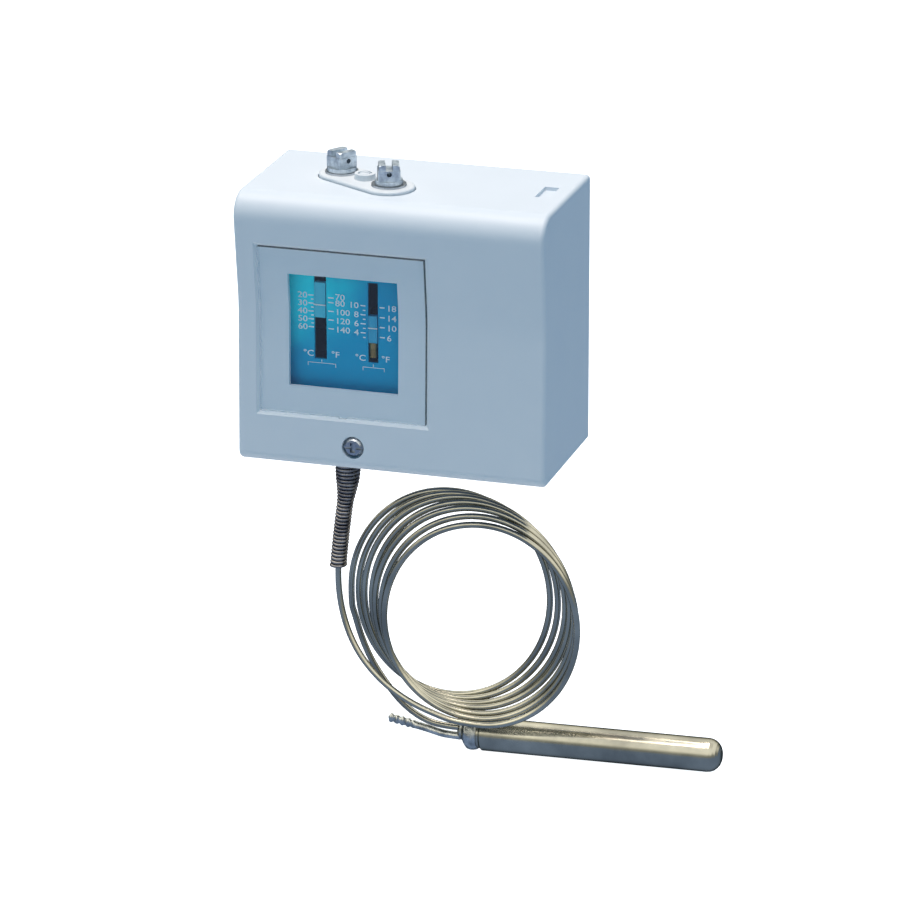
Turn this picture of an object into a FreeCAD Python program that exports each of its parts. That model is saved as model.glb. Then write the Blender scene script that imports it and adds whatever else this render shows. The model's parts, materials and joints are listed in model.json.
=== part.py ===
import FreeCAD, Part
import math
import os

# Capillary thermostat for wall mounting, in millimetres.
# X points right seen from the front, Y into the wall, Z up.
# The origin is the centre of the back face, in the middle of the four wall screws.

# Cover
COVER_WIDTH = 110.0
COVER_HEIGHT = 96.0
COVER_WALL = 2.2
FRONT_AT_BOTTOM = 55.2
FRONT_AT_WAIST = 53.3
FRONT_AT_TOP = 58.0
WAIST_HEIGHT = 8.0
WAIST_RADIUS = 60.0
TOP_EDGE_RADIUS = 8.5
BOTTOM_EDGE_RADIUS = 3.5
SIDE_EDGE_RADIUS = 1.5
BOTTOM_LIP_DEPTH = 9.5
POCKET_FROM_RIGHT = 8.2
POCKET_Y = -24.7
POCKET_WIDTH = 5.1
POCKET_LENGTH = 12.6
POCKET_DEPTH = 1.3

# Window
WINDOW_FROM_LEFT = 37.8
WINDOW_LIFT = 0.2
LENS_WIDTH = 59.4
LENS_HEIGHT = 59.2
LENS_THICKNESS = 2.0
LENS_GAP = 0.4
LENS_BED = 0.1
LENS_TAB_WIDTH = 2.6
RECESS_BEVEL = 1.0
SEAT_THICKNESS = 1.6
SEAT_MARGIN = 2.4
OPENING_WIDTH = 39.2
OPENING_HEIGHT = 40.4

# Cover screw
COVER_SCREW_FROM_WINDOW = 3.8
COVER_SCREW_FROM_BOTTOM = 8.3
COVER_SCREW_HEAD_RADIUS = 3.5
COVER_SCREW_HEAD_HEIGHT = 2.3
COVER_SCREW_RADIUS = 2.0
COVER_SCREW_LENGTH = 10.5
COUNTERBORE_RADIUS = 3.95
COUNTERBORE_DEPTH = 1.9
SCREW_BOSS_RADIUS = 5.0

# Chassis
SHEET = 1.5
CHASSIS_GAP = 0.3
TOP_FLANGE_DEPTH = 46.5
BOTTOM_FLANGE_DEPTH = 45.0
BOTTOM_CLEARANCE = 0.4
TAB_WIDTH = 15.0
TAB_HEIGHT = 12.5
WALL_HOLE_RADIUS = 2.2
WALL_HOLE_FROM_SIDE = 11.0
WALL_HOLE_FROM_END = 12.0

# Spindles
RANGE_FROM_LEFT = 28.7
RANGE_Y = -25.0
DIFF_FROM_RANGE = 20.3
DIFF_Y = -35.5
HEAD_FLATS = 7.6
HEAD_HEIGHT = 5.6
HEAD_CORNER_RADIUS = 5.15
HEAD_CHAMFER = 0.5
HEAD_STEP = 0.3
HEAD_STEP_DROP = 1.9
HEAD_SLOT_WIDTH = 2.4
HEAD_SLOT_DEPTH = 2.0
SEAL_HOLE_RADIUS = 0.85
SEAL_HOLE_DROP = 3.1
RANGE_HEAD_TURN = -33.3
DIFF_HEAD_TURN = 20.5
RANGE_COLLAR_RADIUS = 5.1
DIFF_COLLAR_RADIUS = 4.8
COLLAR_HEIGHT = 1.4
SHAFT_RADIUS = 3.0
THREAD_RADIUS = 2.9
THREAD_END = -6.2
RUNNING_CLEARANCE = 0.06
CLIP_RADIUS = 5.0
CLIP_THICKNESS = 1.0

# Spindle pad and its screw
PAD_RISE = 1.2
PAD_RANGE_RADIUS = 8.0
PAD_DIFF_RADIUS = 9.0
PAD_GAP = 0.3
PAD_ROUND = 0.7
PAD_BOSS_RADIUS = 3.6
PAD_BOSS_HEIGHT = 2.0
PAD_SCREW_RADIUS = 1.25
PAD_SCREW_HEAD_RADIUS = 2.2
PAD_SCREW_HEAD_HEIGHT = 1.2
PAD_SCREW_SINK = 1.0
BUSHING_RADIUS = 4.2
RANGE_BUSHING_FLANGE = 5.7
DIFF_BUSHING_FLANGE = 6.0
BUSHING_FLANGE_HEIGHT = 0.7

# Scale plate and pointers
SCALE_BEHIND_SKIN = 5.8
SCALE_THICKNESS = 1.0
SCALE_WIDTH = 44.0
SCALE_ABOVE = 23.8
SCALE_BELOW = 22.7
SCALE_EAR_WIDTH = 6.5
SCALE_EAR_HEIGHT = 9.0
SCALE_EAR_LIFT = 13.8
RANGE_SLOT_OFFSET = -0.5
RANGE_SLOT_WIDTH = 4.4
RANGE_SLOT_ABOVE = 19.3
RANGE_SLOT_BELOW = 11.2
DIFF_SLOT_OFFSET = -1.9
DIFF_SLOT_WIDTH = 3.6
DIFF_SLOT_ABOVE = 17.8
DIFF_SLOT_BELOW = 10.8
PILLAR_RADIUS = 2.8
SMALL_SCREW_RADIUS = 1.4
SMALL_SCREW_HEAD_RADIUS = 2.6
SMALL_SCREW_HEAD_HEIGHT = 1.6
SMALL_SCREW_LENGTH = 6.0
POINTER_GAP = 0.25
POINTER_PROUD = 0.5
POINTER_DEPTH = 2.2
RANGE_POINTER_LIFT = 8.5
RANGE_POINTER_BELOW = 4.6
RANGE_POINTER_ABOVE = 8.0
DIFF_POINTER_LIFT = 1.7
DIFF_POINTER_BELOW = 5.3
DIFF_POINTER_ABOVE = 4.4
POINTER_SCREW_RADIUS = 1.35
POINTER_SCREW_LENGTH = 5.2
NUT_RADIUS = 6.4
RANGE_NUT_HEIGHT = 8.0
DIFF_NUT_HEIGHT = 6.0
ARM_THICKNESS = 2.6
ARM_HEIGHT = 5.0

# Main lever
PIVOT_FROM_SIDE = 6.5
PIVOT_DROP = 3.2
PIN_RADIUS = 2.0
LEVER_FRONT_Y = -41.0
LEVER_BACK_Y = -14.0
LEVER_LIFT = 26.1
LEVER_TAIL = 3.0
LEVER_BEYOND_SPRING = 12.0
LEVER_FLANGE_HEIGHT = 6.0
TONGUE_BEYOND_PLUNGER = 4.0
TONGUE_WIDTH = 7.0
SIDE_PLAY = 0.4
BRACKET_REACH = 7.5
BRACKET_HEIGHT = 15.0
SPRING_SEAT_RADIUS = 7.6
SPRING_SEAT_HEIGHT = 1.3
SPRING_SEAT_SPIGOT = 2.2
RANGE_SPRING_RADIUS = 5.6
RANGE_SPRING_WIRE = 1.5
RANGE_SPRING_TURNS = 6
DIFF_SPRING_RADIUS = 4.0
DIFF_SPRING_WIRE = 1.0
DIFF_SPRING_TURNS = 7
SPRING_END_GAP = 0.1

# Bellows
BELLOWS_FROM_SPRING = 1.9
BELLOWS_Y = -27.0
CUP_RADIUS = 11.0
CUP_HEIGHT = 15.0
CUP_WALL = 0.9
CUP_CAP_THICKNESS = 1.6
BELLOWS_CREST = 8.6
BELLOWS_ROOT = 6.8
BELLOWS_FOLDS = 4
BELLOWS_SKIN = 0.4
BELLOWS_FLOOR_GAP = 2.6
PUSHER_RADIUS = 2.5
PUSHER_FOOT_RADIUS = 5.4
PUSHER_FOOT_HEIGHT = 1.4
PUSHER_TIP_GAP = 0.3

# Capillary, guard spring and bulb
CAPILLARY_RADIUS = 1.0
FERRULE_RADIUS = 4.4
FERRULE_FLANGE = 1.4
FERRULE_STEM_RADIUS = 2.3
FERRULE_LENGTH = 6.4
GUARD_TOP_RADIUS = 4.3
GUARD_END_RADIUS = 2.75
GUARD_WIRE = 0.75
GUARD_PITCH = 1.36
GUARD_TAPER_START = 10.5
GUARD_TAPER_END = 22.5
GUARD_LENGTH = 47.5
GUARD_LEAN = 4.9
GUARD_SEAT_GAP = 0.5
LEAD_ROUTE = [
    (0.0, 0.0, 0.0), (0.0, 0.0, -8.0), (-1.6, 0.0, -19.0), (-3.1, 0.0, -31.0),
    (-4.2, -0.1, -42.5), (-3.3, -0.9, -52.8), (-0.4, -2.4, -62.4), (4.3, -4.4, -70.3),
    (10.3, -6.1, -76.6), (16.9, -7.0, -81.8), (25.0, -7.1, -86.6), (35.4, -7.0, -90.3),
    (45.8, -7.0, -91.6),
]
TAIL_ROUTE = [
    (-1.6, 7.7, -52.6), (-0.6, 7.7, -61.2), (1.8, 7.7, -69.8), (5.6, 7.7, -78.4),
    (10.8, 7.8, -86.2), (16.4, 7.8, -93.0), (23.2, 7.8, -97.9), (30.6, 7.8, -100.2),
    (37.86, 7.8, -100.05),
]
COIL_FIRST_CENTRE = (50.8, -7.0, -55.4)
COIL_LAST_CENTRE = (33.9, 7.7, -48.7)
COIL_FIRST_RADII = (34.6, 36.6)
COIL_LAST_RADII = (35.7, 37.9)
COIL_SPREAD = 0.6
BULB_OFFSET = (37.9, 7.8, -101.65)
BULB_TILT = -1.3
BULB_RADIUS = 6.0
BULB_LENGTH = 88.5
BULB_DOME = 5.0
BULB_TIP_RADIUS = 1.2
BULB_GROOVE_DEPTH = 0.7
BULB_GROOVE_WIDTH = 1.6
NECK_CONE_LENGTH = 3.0
NECK_CONE_RADIUS = 3.3
NECK_RADIUS = 5.9
NECK_LENGTH = 4.6
NECK_ROUND = 0.8
STUB_RADIUS = 1.35
STUB_DROP = 1.75
STUB_ROUTE = [(0.0, 0.0), (-6.5, 0.2), (-12.5, 1.6), (-18.0, 2.6)]
STUB_CRIMP_LENGTH = 9.0
STUB_CRIMP_WIDTH = 3.7
STUB_CRIMP_THICKNESS = 1.9

# Switch, terminals and cable entry
SWITCH_FROM_SIDE = 4.5
SWITCH_BESIDE_SCALE = 3.7
SWITCH_FRONT_Y = -40.0
SWITCH_BACK_Y = -13.0
SWITCH_ABOVE_LEVER = 5.0
SWITCH_HEIGHT = 30.0
SWITCH_WALL = 3.0
PLUNGER_INSET = 5.0
PLUNGER_RADIUS = 1.6
PLUNGER_GAP = 0.3
ARM_PIVOT_INSET = 5.4
CONTACT_ARM_LIFT = 11.8
CONTACT_ARM_THICKNESS = 1.0
CONTACT_ARM_WIDTH = 7.0
CONTACT_BUTTON_RADIUS = 2.0
CONTACT_BUTTON_HEIGHT = 0.9
CONTACT_GAP_ABOVE = 4.7
CONTACT_STRIP_THICKNESS = 1.0
BLOCK_FROM_SIDE = 2.5
BLOCK_WIDTH = 24.0
BLOCK_FRONT_Y = -36.0
BLOCK_BELOW_SWITCH = 3.0
BLOCK_HEIGHT = 13.0
TERMINAL_COUNT = 3
TERMINAL_PITCH = 7.6
TERMINAL_CLAMP = 5.4
TERMINAL_CLAMP_THICKNESS = 1.2
TERMINAL_SCREW_RADIUS = 1.6
TERMINAL_SCREW_HEAD_RADIUS = 2.5
EARTH_FROM_BLOCK = 6.0
EARTH_LIFT = 5.6
CABLE_Y = -8.4
CABLE_BORE_RADIUS = 4.5
GROMMET_NECK_RADIUS = 6.1
GROMMET_FLANGE_RADIUS = 7.6
GROMMET_LIP = 0.7
GROMMET_ROUND = 1.0
GROMMET_BELOW = 3.5
GROMMET_ABOVE = 2.5

HALF_WIDTH = COVER_WIDTH / 2
HALF_HEIGHT = COVER_HEIGHT / 2


def front_depth(height):
    """How far the cover's skin stands in front of the back face at this height."""
    if height < WAIST_HEIGHT:
        share = (height + HALF_HEIGHT) / (WAIST_HEIGHT + HALF_HEIGHT)
        return FRONT_AT_BOTTOM + (FRONT_AT_WAIST - FRONT_AT_BOTTOM) * share
    share = (height - WAIST_HEIGHT) / (HALF_HEIGHT - WAIST_HEIGHT)
    return FRONT_AT_WAIST + (FRONT_AT_TOP - FRONT_AT_WAIST) * share


BEHIND = 20.0
OUTSIDE = max(FRONT_AT_BOTTOM, FRONT_AT_WAIST, FRONT_AT_TOP) + 5
INNER_HALF_WIDTH = HALF_WIDTH - COVER_WALL
CHASSIS_HALF_WIDTH = INNER_HALF_WIDTH - CHASSIS_GAP
CHASSIS_TOP_Z = HALF_HEIGHT - COVER_WALL - CHASSIS_GAP
FLANGE_UNDER_Z = CHASSIS_TOP_Z - SHEET
CHASSIS_BOTTOM_Z = -HALF_HEIGHT + BOTTOM_CLEARANCE
FLOOR_Z = CHASSIS_BOTTOM_Z + SHEET
TAB_FRONT_Y = -BOTTOM_FLANGE_DEPTH
POCKET_X = HALF_WIDTH - POCKET_FROM_RIGHT
WINDOW_X = -HALF_WIDTH + WINDOW_FROM_LEFT
WINDOW_Z = WINDOW_LIFT
COVER_SCREW_X = WINDOW_X + COVER_SCREW_FROM_WINDOW
COVER_SCREW_Z = -HALF_HEIGHT + COVER_SCREW_FROM_BOTTOM
WALL_HOLE_X = HALF_WIDTH - WALL_HOLE_FROM_SIDE
WALL_HOLE_Z = HALF_HEIGHT - WALL_HOLE_FROM_END
RANGE_X = -HALF_WIDTH + RANGE_FROM_LEFT
DIFF_X = RANGE_X + DIFF_FROM_RANGE
PAD_TOP_Z = HALF_HEIGHT + PAD_RISE
HEAD_SEAT_Z = PAD_TOP_Z + BUSHING_FLANGE_HEIGHT + RUNNING_CLEARANCE
THREAD_END_Z = WINDOW_Z + THREAD_END
SCALE_NEAREST_SKIN = min(front_depth(WINDOW_Z + SCALE_ABOVE), front_depth(WINDOW_Z - SCALE_BELOW),
                         FRONT_AT_WAIST)
SCALE_FRONT_Y = -SCALE_NEAREST_SKIN + SCALE_BEHIND_SKIN
SCALE_BACK_Y = SCALE_FRONT_Y + SCALE_THICKNESS
SCALE_EAR_Z = WINDOW_Z + SCALE_EAR_LIFT
RANGE_SLOT_X = RANGE_X + RANGE_SLOT_OFFSET
DIFF_SLOT_X = DIFF_X + DIFF_SLOT_OFFSET
RANGE_POINTER_Z = WINDOW_Z + RANGE_POINTER_LIFT
DIFF_POINTER_Z = WINDOW_Z + DIFF_POINTER_LIFT
LEVER_TOP_Z = FLOOR_Z + LEVER_LIFT
LEVER_UNDER_Z = LEVER_TOP_Z - SHEET
PIVOT_X = -CHASSIS_HALF_WIDTH + PIVOT_FROM_SIDE
PIVOT_Z = LEVER_TOP_Z - PIVOT_DROP
LEVER_END_X = DIFF_X + LEVER_BEYOND_SPRING
BELLOWS_X = RANGE_X + BELLOWS_FROM_SPRING
CUP_TOP_Z = FLOOR_Z + CUP_HEIGHT
EXIT = (BELLOWS_X, BELLOWS_Y, CHASSIS_BOTTOM_Z - FERRULE_LENGTH)
SWITCH_RIGHT_X = CHASSIS_HALF_WIDTH - SWITCH_FROM_SIDE
SWITCH_LEFT_X = WINDOW_X + SCALE_WIDTH / 2 + SCALE_EAR_WIDTH + SWITCH_BESIDE_SCALE
SWITCH_BOTTOM_Z = LEVER_TOP_Z + SWITCH_ABOVE_LEVER
SWITCH_TOP_Z = SWITCH_BOTTOM_Z + SWITCH_HEIGHT
PLUNGER_X = SWITCH_LEFT_X + PLUNGER_INSET
TONGUE_END_X = PLUNGER_X + TONGUE_BEYOND_PLUNGER
ARM_PIVOT_X = SWITCH_RIGHT_X - ARM_PIVOT_INSET
CONTACT_ARM_Z = SWITCH_BOTTOM_Z + CONTACT_ARM_LIFT
BLOCK_RIGHT_X = CHASSIS_HALF_WIDTH - BLOCK_FROM_SIDE
BLOCK_LEFT_X = BLOCK_RIGHT_X - BLOCK_WIDTH
BLOCK_TOP_Z = SWITCH_BOTTOM_Z - BLOCK_BELOW_SWITCH
BLOCK_BOTTOM_Z = BLOCK_TOP_Z - BLOCK_HEIGHT
EARTH_X = BLOCK_LEFT_X - EARTH_FROM_BLOCK
EARTH_Z = FLOOR_Z + EARTH_LIFT
CABLE_X = (BLOCK_LEFT_X + BLOCK_RIGHT_X) / 2

X_AXIS = FreeCAD.Vector(1, 0, 0)
Y_AXIS = FreeCAD.Vector(0, 1, 0)
Z_AXIS = FreeCAD.Vector(0, 0, 1)


def point(x, y, z):
    return FreeCAD.Vector(x, y, z)


def box(x, y, z):
    """A block given by its low and high side along each axis."""
    return Part.makeBox(x[1] - x[0], y[1] - y[0], z[1] - z[0], point(x[0], y[0], z[0]))


def rod(radius, start, length, axis=Z_AXIS):
    return Part.makeCylinder(radius, length, start, axis)


def ring(outer, inner, start, length, axis=Z_AXIS):
    return rod(outer, start, length, axis).cut(rod(inner, start - axis, length + 2, axis))


def rounded_outline(corners):
    """A closed flat wire through corners of (point, radius), with a tangent arc at each radius."""
    count = len(corners)
    arcs = []
    for index, (corner, radius) in enumerate(corners):
        before = (corners[index - 1][0] - corner).normalize()
        after = (corners[(index + 1) % count][0] - corner).normalize()
        if radius == 0:
            arcs.append((corner, None, corner))
            continue
        half = before.getAngle(after) / 2
        reach = radius / math.tan(half)
        middle = corner + (before + after).normalize() * (radius / math.sin(half) - radius)
        arcs.append((corner + before * reach, middle, corner + after * reach))
    edges = []
    for index, (start, middle, end) in enumerate(arcs):
        if middle is not None:
            edges.append(Part.Arc(start, middle, end).toShape())
        following = arcs[(index + 1) % count][0]
        if (following - end).Length > 1e-6:
            edges.append(Part.LineSegment(end, following).toShape())
    return Part.Wire(edges)


def turned(profile, base, axis=Z_AXIS, tilt=0.0):
    """A solid of revolution from (radius, height) pairs, standing on base along axis."""
    points = [point(radius, 0, height) for radius, height in profile]
    face = Part.Face(Part.makePolygon(points + points[:1]))
    solid = face.revolve(point(0, 0, 0), Z_AXIS, 360)
    solid.Placement = FreeCAD.Placement(base, FreeCAD.Rotation(Z_AXIS, axis))
    if tilt:
        solid.rotate(base, Y_AXIS, tilt)
    return solid


def smooth_tube(route, radius, name):
    """A round tube along straight runs joined by tangent arcs as large as the runs allow."""
    knots = [point(*place) for place in route]
    edges = []
    start = knots[0]
    bends = []
    for before, corner, after in zip(knots, knots[1:], knots[2:]):
        back = (before - corner).normalize()
        ahead = (after - corner).normalize()
        half = back.getAngle(ahead) / 2
        reach = 0.45 * min((before - corner).Length, (after - corner).Length)
        bend = reach * math.tan(half)
        bends.append(bend)
        arc_start = corner + back * reach
        arc_end = corner + ahead * reach
        middle = corner + (back + ahead).normalize() * (bend / math.sin(half) - bend)
        edges.append(Part.LineSegment(start, arc_start).toShape())
        edges.append(Part.Arc(arc_start, middle, arc_end).toShape())
        start = arc_end
    edges.append(Part.LineSegment(start, knots[-1]).toShape())
    path = Part.Wire(edges)
    section = Part.Wire(Part.makeCircle(radius, knots[0], knots[1] - knots[0]))
    tube = path.makePipeShell([section], True, True)
    ideal = math.pi * radius ** 2 * path.Length
    print(name, "length %.1f" % path.Length, "radii", ["%.1f" % bend for bend in bends],
          "volume %.1f against %.1f" % (tube.Volume, ideal))
    return tube


def coil_spring(radius, wire, turns, base, height):
    """A helical spring standing on base, its wire swept with a six-sided section."""
    steps = 12
    rise = (height - wire) / (turns * steps)
    places = []
    for index in range(turns * steps + 1):
        angle = 2 * math.pi * index / steps
        places.append(point(radius * math.cos(angle), radius * math.sin(angle), rise * index))
    ahead = (places[1] - places[0]).normalize()
    outward = (X_AXIS - ahead * X_AXIS.dot(ahead)).normalize()
    upward = ahead.cross(outward)
    corners = []
    for index in range(6):
        angle = math.pi * index / 3
        reach = outward * math.cos(angle) + upward * math.sin(angle)
        corners.append(places[0] + reach * (wire / 2))
    section = Part.makePolygon(corners + corners[:1])
    spring = Part.makePolygon(places).makePipeShell([section], True, False, 1)
    spring.translate(base + Z_AXIS * (wire / 2))
    return spring


def cover_side(inset):
    """The cover's side view, moved inwards by inset, as a face at the cover's left side."""
    corners = [
        (point(0, BEHIND, -HALF_HEIGHT), 0),
        (point(0, -FRONT_AT_BOTTOM, -HALF_HEIGHT), BOTTOM_EDGE_RADIUS),
        (point(0, -FRONT_AT_WAIST, WAIST_HEIGHT), WAIST_RADIUS),
        (point(0, -FRONT_AT_TOP, HALF_HEIGHT), TOP_EDGE_RADIUS),
        (point(0, BEHIND, HALF_HEIGHT), 0),
    ]
    face = Part.Face(rounded_outline(corners))
    if inset:
        face = face.makeOffset2D(-inset)
    return face


def cover_layer(inset, left, right):
    """What lies deeper than inset under the cover's skin, between two places along X."""
    face = cover_side(inset)
    face.translate(point(left, 0, 0))
    return face.extrude(point(right - left, 0, 0))


def window_block(grow, width=LENS_WIDTH, height=LENS_HEIGHT):
    """A block through the cover's front over the window, grown on each side."""
    half_width = width / 2 + grow
    half_height = height / 2 + grow
    return box((WINDOW_X - half_width, WINDOW_X + half_width), (-OUTSIDE, -OUTSIDE / 2),
               (WINDOW_Z - half_height, WINDOW_Z + half_height))


def pad_shape(grow, low, high):
    """The pad's outline, two circles joined by their tangents, as a prism between two heights."""
    ends = [(RANGE_X, RANGE_Y, PAD_RANGE_RADIUS + grow), (DIFF_X, DIFF_Y, PAD_DIFF_RADIUS + grow)]
    (x_1, y_1, r_1), (x_2, y_2, r_2) = ends
    span = math.hypot(x_2 - x_1, y_2 - y_1)
    heading = math.atan2(y_2 - y_1, x_2 - x_1)
    lean = math.acos((r_1 - r_2) / span)
    places = []
    for side in (1, -1):
        for x, y, radius in ends:
            angle = heading + side * lean
            places.append(point(x + radius * math.cos(angle), y + radius * math.sin(angle), low))
    upper_1, upper_2, lower_1, lower_2 = places
    far_1 = point(x_1 - r_1 * math.cos(heading), y_1 - r_1 * math.sin(heading), low)
    far_2 = point(x_2 + r_2 * math.cos(heading), y_2 + r_2 * math.sin(heading), low)
    wire = Part.Wire([
        Part.LineSegment(upper_1, upper_2).toShape(), Part.Arc(upper_2, far_2, lower_2).toShape(),
        Part.LineSegment(lower_2, lower_1).toShape(), Part.Arc(lower_1, far_1, upper_1).toShape(),
    ])
    return Part.Face(wire).extrude(point(0, 0, high - low))


def make_cover():
    body = cover_layer(0, -HALF_WIDTH, HALF_WIDTH)
    rim = [edge for edge in body.Edges
           if abs(abs(edge.CenterOfMass.x) - HALF_WIDTH) < 1e-6 and edge.CenterOfMass.y < BEHIND - 1]
    body = body.makeFillet(SIDE_EDGE_RADIUS, rim)
    body = body.cut(box((-HALF_WIDTH - 1, HALF_WIDTH + 1), (0, BEHIND + 1),
                        (-HALF_HEIGHT - 1, HALF_HEIGHT + 1)))
    body = body.cut(cover_layer(COVER_WALL, -INNER_HALF_WIDTH, INNER_HALF_WIDTH))
    body = body.cut(box((-INNER_HALF_WIDTH, INNER_HALF_WIDTH),
                        (-FRONT_AT_BOTTOM + BOTTOM_LIP_DEPTH, BEHIND),
                        (-HALF_HEIGHT - 1, -HALF_HEIGHT + COVER_WALL + 1)))
    seat = cover_layer(COVER_WALL - 0.5, -HALF_WIDTH, HALF_WIDTH)
    seat = seat.cut(cover_layer(COVER_WALL + SEAT_THICKNESS, -HALF_WIDTH - 1, HALF_WIDTH + 1))
    body = body.fuse(seat.common(window_block(SEAT_MARGIN)))
    body = body.fuse(screw_boss())
    recess = window_block(LENS_GAP).cut(
        cover_layer(LENS_THICKNESS + LENS_BED, -HALF_WIDTH - 1, HALF_WIDTH + 1))
    body = body.cut(recess)
    body = bevel_recess(body)
    body = body.cut(window_block(0, OPENING_WIDTH, OPENING_HEIGHT))
    body = body.cut(screw_hole())
    body = body.cut(pad_shape(PAD_GAP, HALF_HEIGHT - COVER_WALL - 1, HALF_HEIGHT + 1))
    body = body.cut(box((POCKET_X - POCKET_WIDTH / 2, POCKET_X + POCKET_WIDTH / 2),
                        (POCKET_Y - POCKET_LENGTH / 2, POCKET_Y + POCKET_LENGTH / 2),
                        (HALF_HEIGHT - POCKET_DEPTH, HALF_HEIGHT + 1)))
    return body.removeSplitter()


def screw_boss():
    """The post behind the cover's front that the cover screw clamps to the chassis tab."""
    start_y = -front_depth(COVER_SCREW_Z) + COVER_WALL / 2
    end_y = TAB_FRONT_Y - CHASSIS_GAP
    return rod(SCREW_BOSS_RADIUS, point(COVER_SCREW_X, start_y, COVER_SCREW_Z),
               end_y - start_y, Y_AXIS)


def screw_hole():
    head_seat_y = -front_depth(COVER_SCREW_Z) + COUNTERBORE_DEPTH
    hole = rod(COVER_SCREW_RADIUS + 0.25, point(COVER_SCREW_X, head_seat_y - 1, COVER_SCREW_Z),
               20, Y_AXIS)
    return hole.fuse(rod(COUNTERBORE_RADIUS, point(COVER_SCREW_X, head_seat_y - 8, COVER_SCREW_Z),
                         8, Y_AXIS))


def bevel_recess(body):
    """Slopes the outer edge of the window's recess."""
    half_width = LENS_WIDTH / 2 + LENS_GAP
    half_height = LENS_HEIGHT / 2 + LENS_GAP
    chosen = []
    for edge in body.Edges:
        middle = edge.CenterOfMass
        on_side = abs(abs(middle.x - WINDOW_X) - half_width) < 1e-4
        on_end = abs(abs(middle.z - WINDOW_Z) - half_height) < 1e-4
        inside = (abs(middle.x - WINDOW_X) < half_width + 0.01
                  and abs(middle.z - WINDOW_Z) < half_height + 0.01)
        near_skin = abs(middle.y + front_depth(middle.z)) < 0.5
        along_y = abs(edge.BoundBox.YLength) > 0.9 * edge.Length
        if inside and (on_side or on_end) and near_skin and not along_y:
            chosen.append(edge)
    return body.makeChamfer(RECESS_BEVEL, chosen)


def make_window_lens():
    lens = cover_layer(0, -HALF_WIDTH, HALF_WIDTH)
    lens = lens.cut(cover_layer(LENS_THICKNESS, -HALF_WIDTH - 1, HALF_WIDTH + 1))
    lens = lens.common(window_block(0))
    tab = cover_layer(LENS_BED, -HALF_WIDTH, HALF_WIDTH)
    tab = tab.cut(cover_layer(LENS_THICKNESS, -HALF_WIDTH - 1, HALF_WIDTH + 1))
    foot = WINDOW_Z - LENS_HEIGHT / 2
    tab = tab.common(box((WINDOW_X - LENS_TAB_WIDTH / 2, WINDOW_X + LENS_TAB_WIDTH / 2),
                         (-OUTSIDE, -OUTSIDE / 2), (foot - LENS_GAP, foot + 1)))
    return lens.fuse(tab).removeSplitter()


def slotted_screw(head_radius, head_height, radius, length, place, axis, cross=False):
    """A pan-head screw whose head stands on place, with its shank along minus axis."""
    crown = head_height * 0.45
    profile = [(0, -length), (radius, -length), (radius, 0), (head_radius, 0),
               (head_radius, crown), (head_radius * 0.75, head_height * 0.88), (0, head_height)]
    screw = turned(profile, point(0, 0, 0))
    slot_depth = head_height * 0.5
    width = head_radius * 0.26
    slot = box((-head_radius - 1, head_radius + 1), (-width / 2, width / 2),
               (head_height - slot_depth, head_height + 1))
    screw = screw.cut(slot)
    if cross:
        reach = head_radius * 0.5
        screw = screw.cut(box((-width, width), (-reach, reach),
                              (head_height - slot_depth - 0.3, head_height + 1)))
    screw.Placement = FreeCAD.Placement(place, FreeCAD.Rotation(Z_AXIS, axis))
    return screw


def make_cover_screw():
    seat = point(COVER_SCREW_X, -front_depth(COVER_SCREW_Z) + COUNTERBORE_DEPTH, COVER_SCREW_Z)
    return slotted_screw(COVER_SCREW_HEAD_RADIUS, COVER_SCREW_HEAD_HEIGHT, COVER_SCREW_RADIUS,
                         COVER_SCREW_LENGTH, seat, -Y_AXIS, cross=True)


def make_chassis():
    """Bent steel frame: back plate, top and bottom flanges and the tab for the cover screw."""
    width = (-CHASSIS_HALF_WIDTH, CHASSIS_HALF_WIDTH)
    frame = box(width, (-SHEET, 0), (CHASSIS_BOTTOM_Z, CHASSIS_TOP_Z))
    frame = frame.fuse(box(width, (-TOP_FLANGE_DEPTH, 0), (FLANGE_UNDER_Z, CHASSIS_TOP_Z)))
    frame = frame.fuse(box(width, (-BOTTOM_FLANGE_DEPTH, 0), (CHASSIS_BOTTOM_Z, FLOOR_Z)))
    tab_x = (COVER_SCREW_X - TAB_WIDTH / 2, COVER_SCREW_X + TAB_WIDTH / 2)
    frame = frame.fuse(box(tab_x, (TAB_FRONT_Y, TAB_FRONT_Y + SHEET),
                           (CHASSIS_BOTTOM_Z, CHASSIS_BOTTOM_Z + TAB_HEIGHT)))
    frame = frame.removeSplitter()
    holes = [rod(COVER_SCREW_RADIUS + RUNNING_CLEARANCE,
                 point(COVER_SCREW_X, TAB_FRONT_Y - 1, COVER_SCREW_Z), SHEET + 2, Y_AXIS)]
    for x in (-WALL_HOLE_X, WALL_HOLE_X):
        for z in (-WALL_HOLE_Z, WALL_HOLE_Z):
            holes.append(rod(WALL_HOLE_RADIUS, point(x, -SHEET - 1, z), SHEET + 2, Y_AXIS))
    for x, y in ((RANGE_X, RANGE_Y), (DIFF_X, DIFF_Y)):
        holes.append(rod(BUSHING_RADIUS + RUNNING_CLEARANCE, point(x, y, FLANGE_UNDER_Z - 1),
                         SHEET + 2))
    holes.append(rod(PAD_SCREW_RADIUS, pad_screw_place(FLANGE_UNDER_Z - 1), SHEET + 2))
    holes.append(rod(FERRULE_STEM_RADIUS + RUNNING_CLEARANCE,
                     point(BELLOWS_X, BELLOWS_Y, CHASSIS_BOTTOM_Z - 1), SHEET + 2))
    holes.append(rod(GROMMET_NECK_RADIUS + RUNNING_CLEARANCE,
                     point(CABLE_X, CABLE_Y, CHASSIS_BOTTOM_Z - 1), SHEET + 2))
    holes.append(rod(SMALL_SCREW_RADIUS, point(EARTH_X, -SHEET - 1, EARTH_Z), SHEET + 2, Y_AXIS))
    for hole in holes:
        frame = frame.cut(hole)
    return frame


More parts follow.
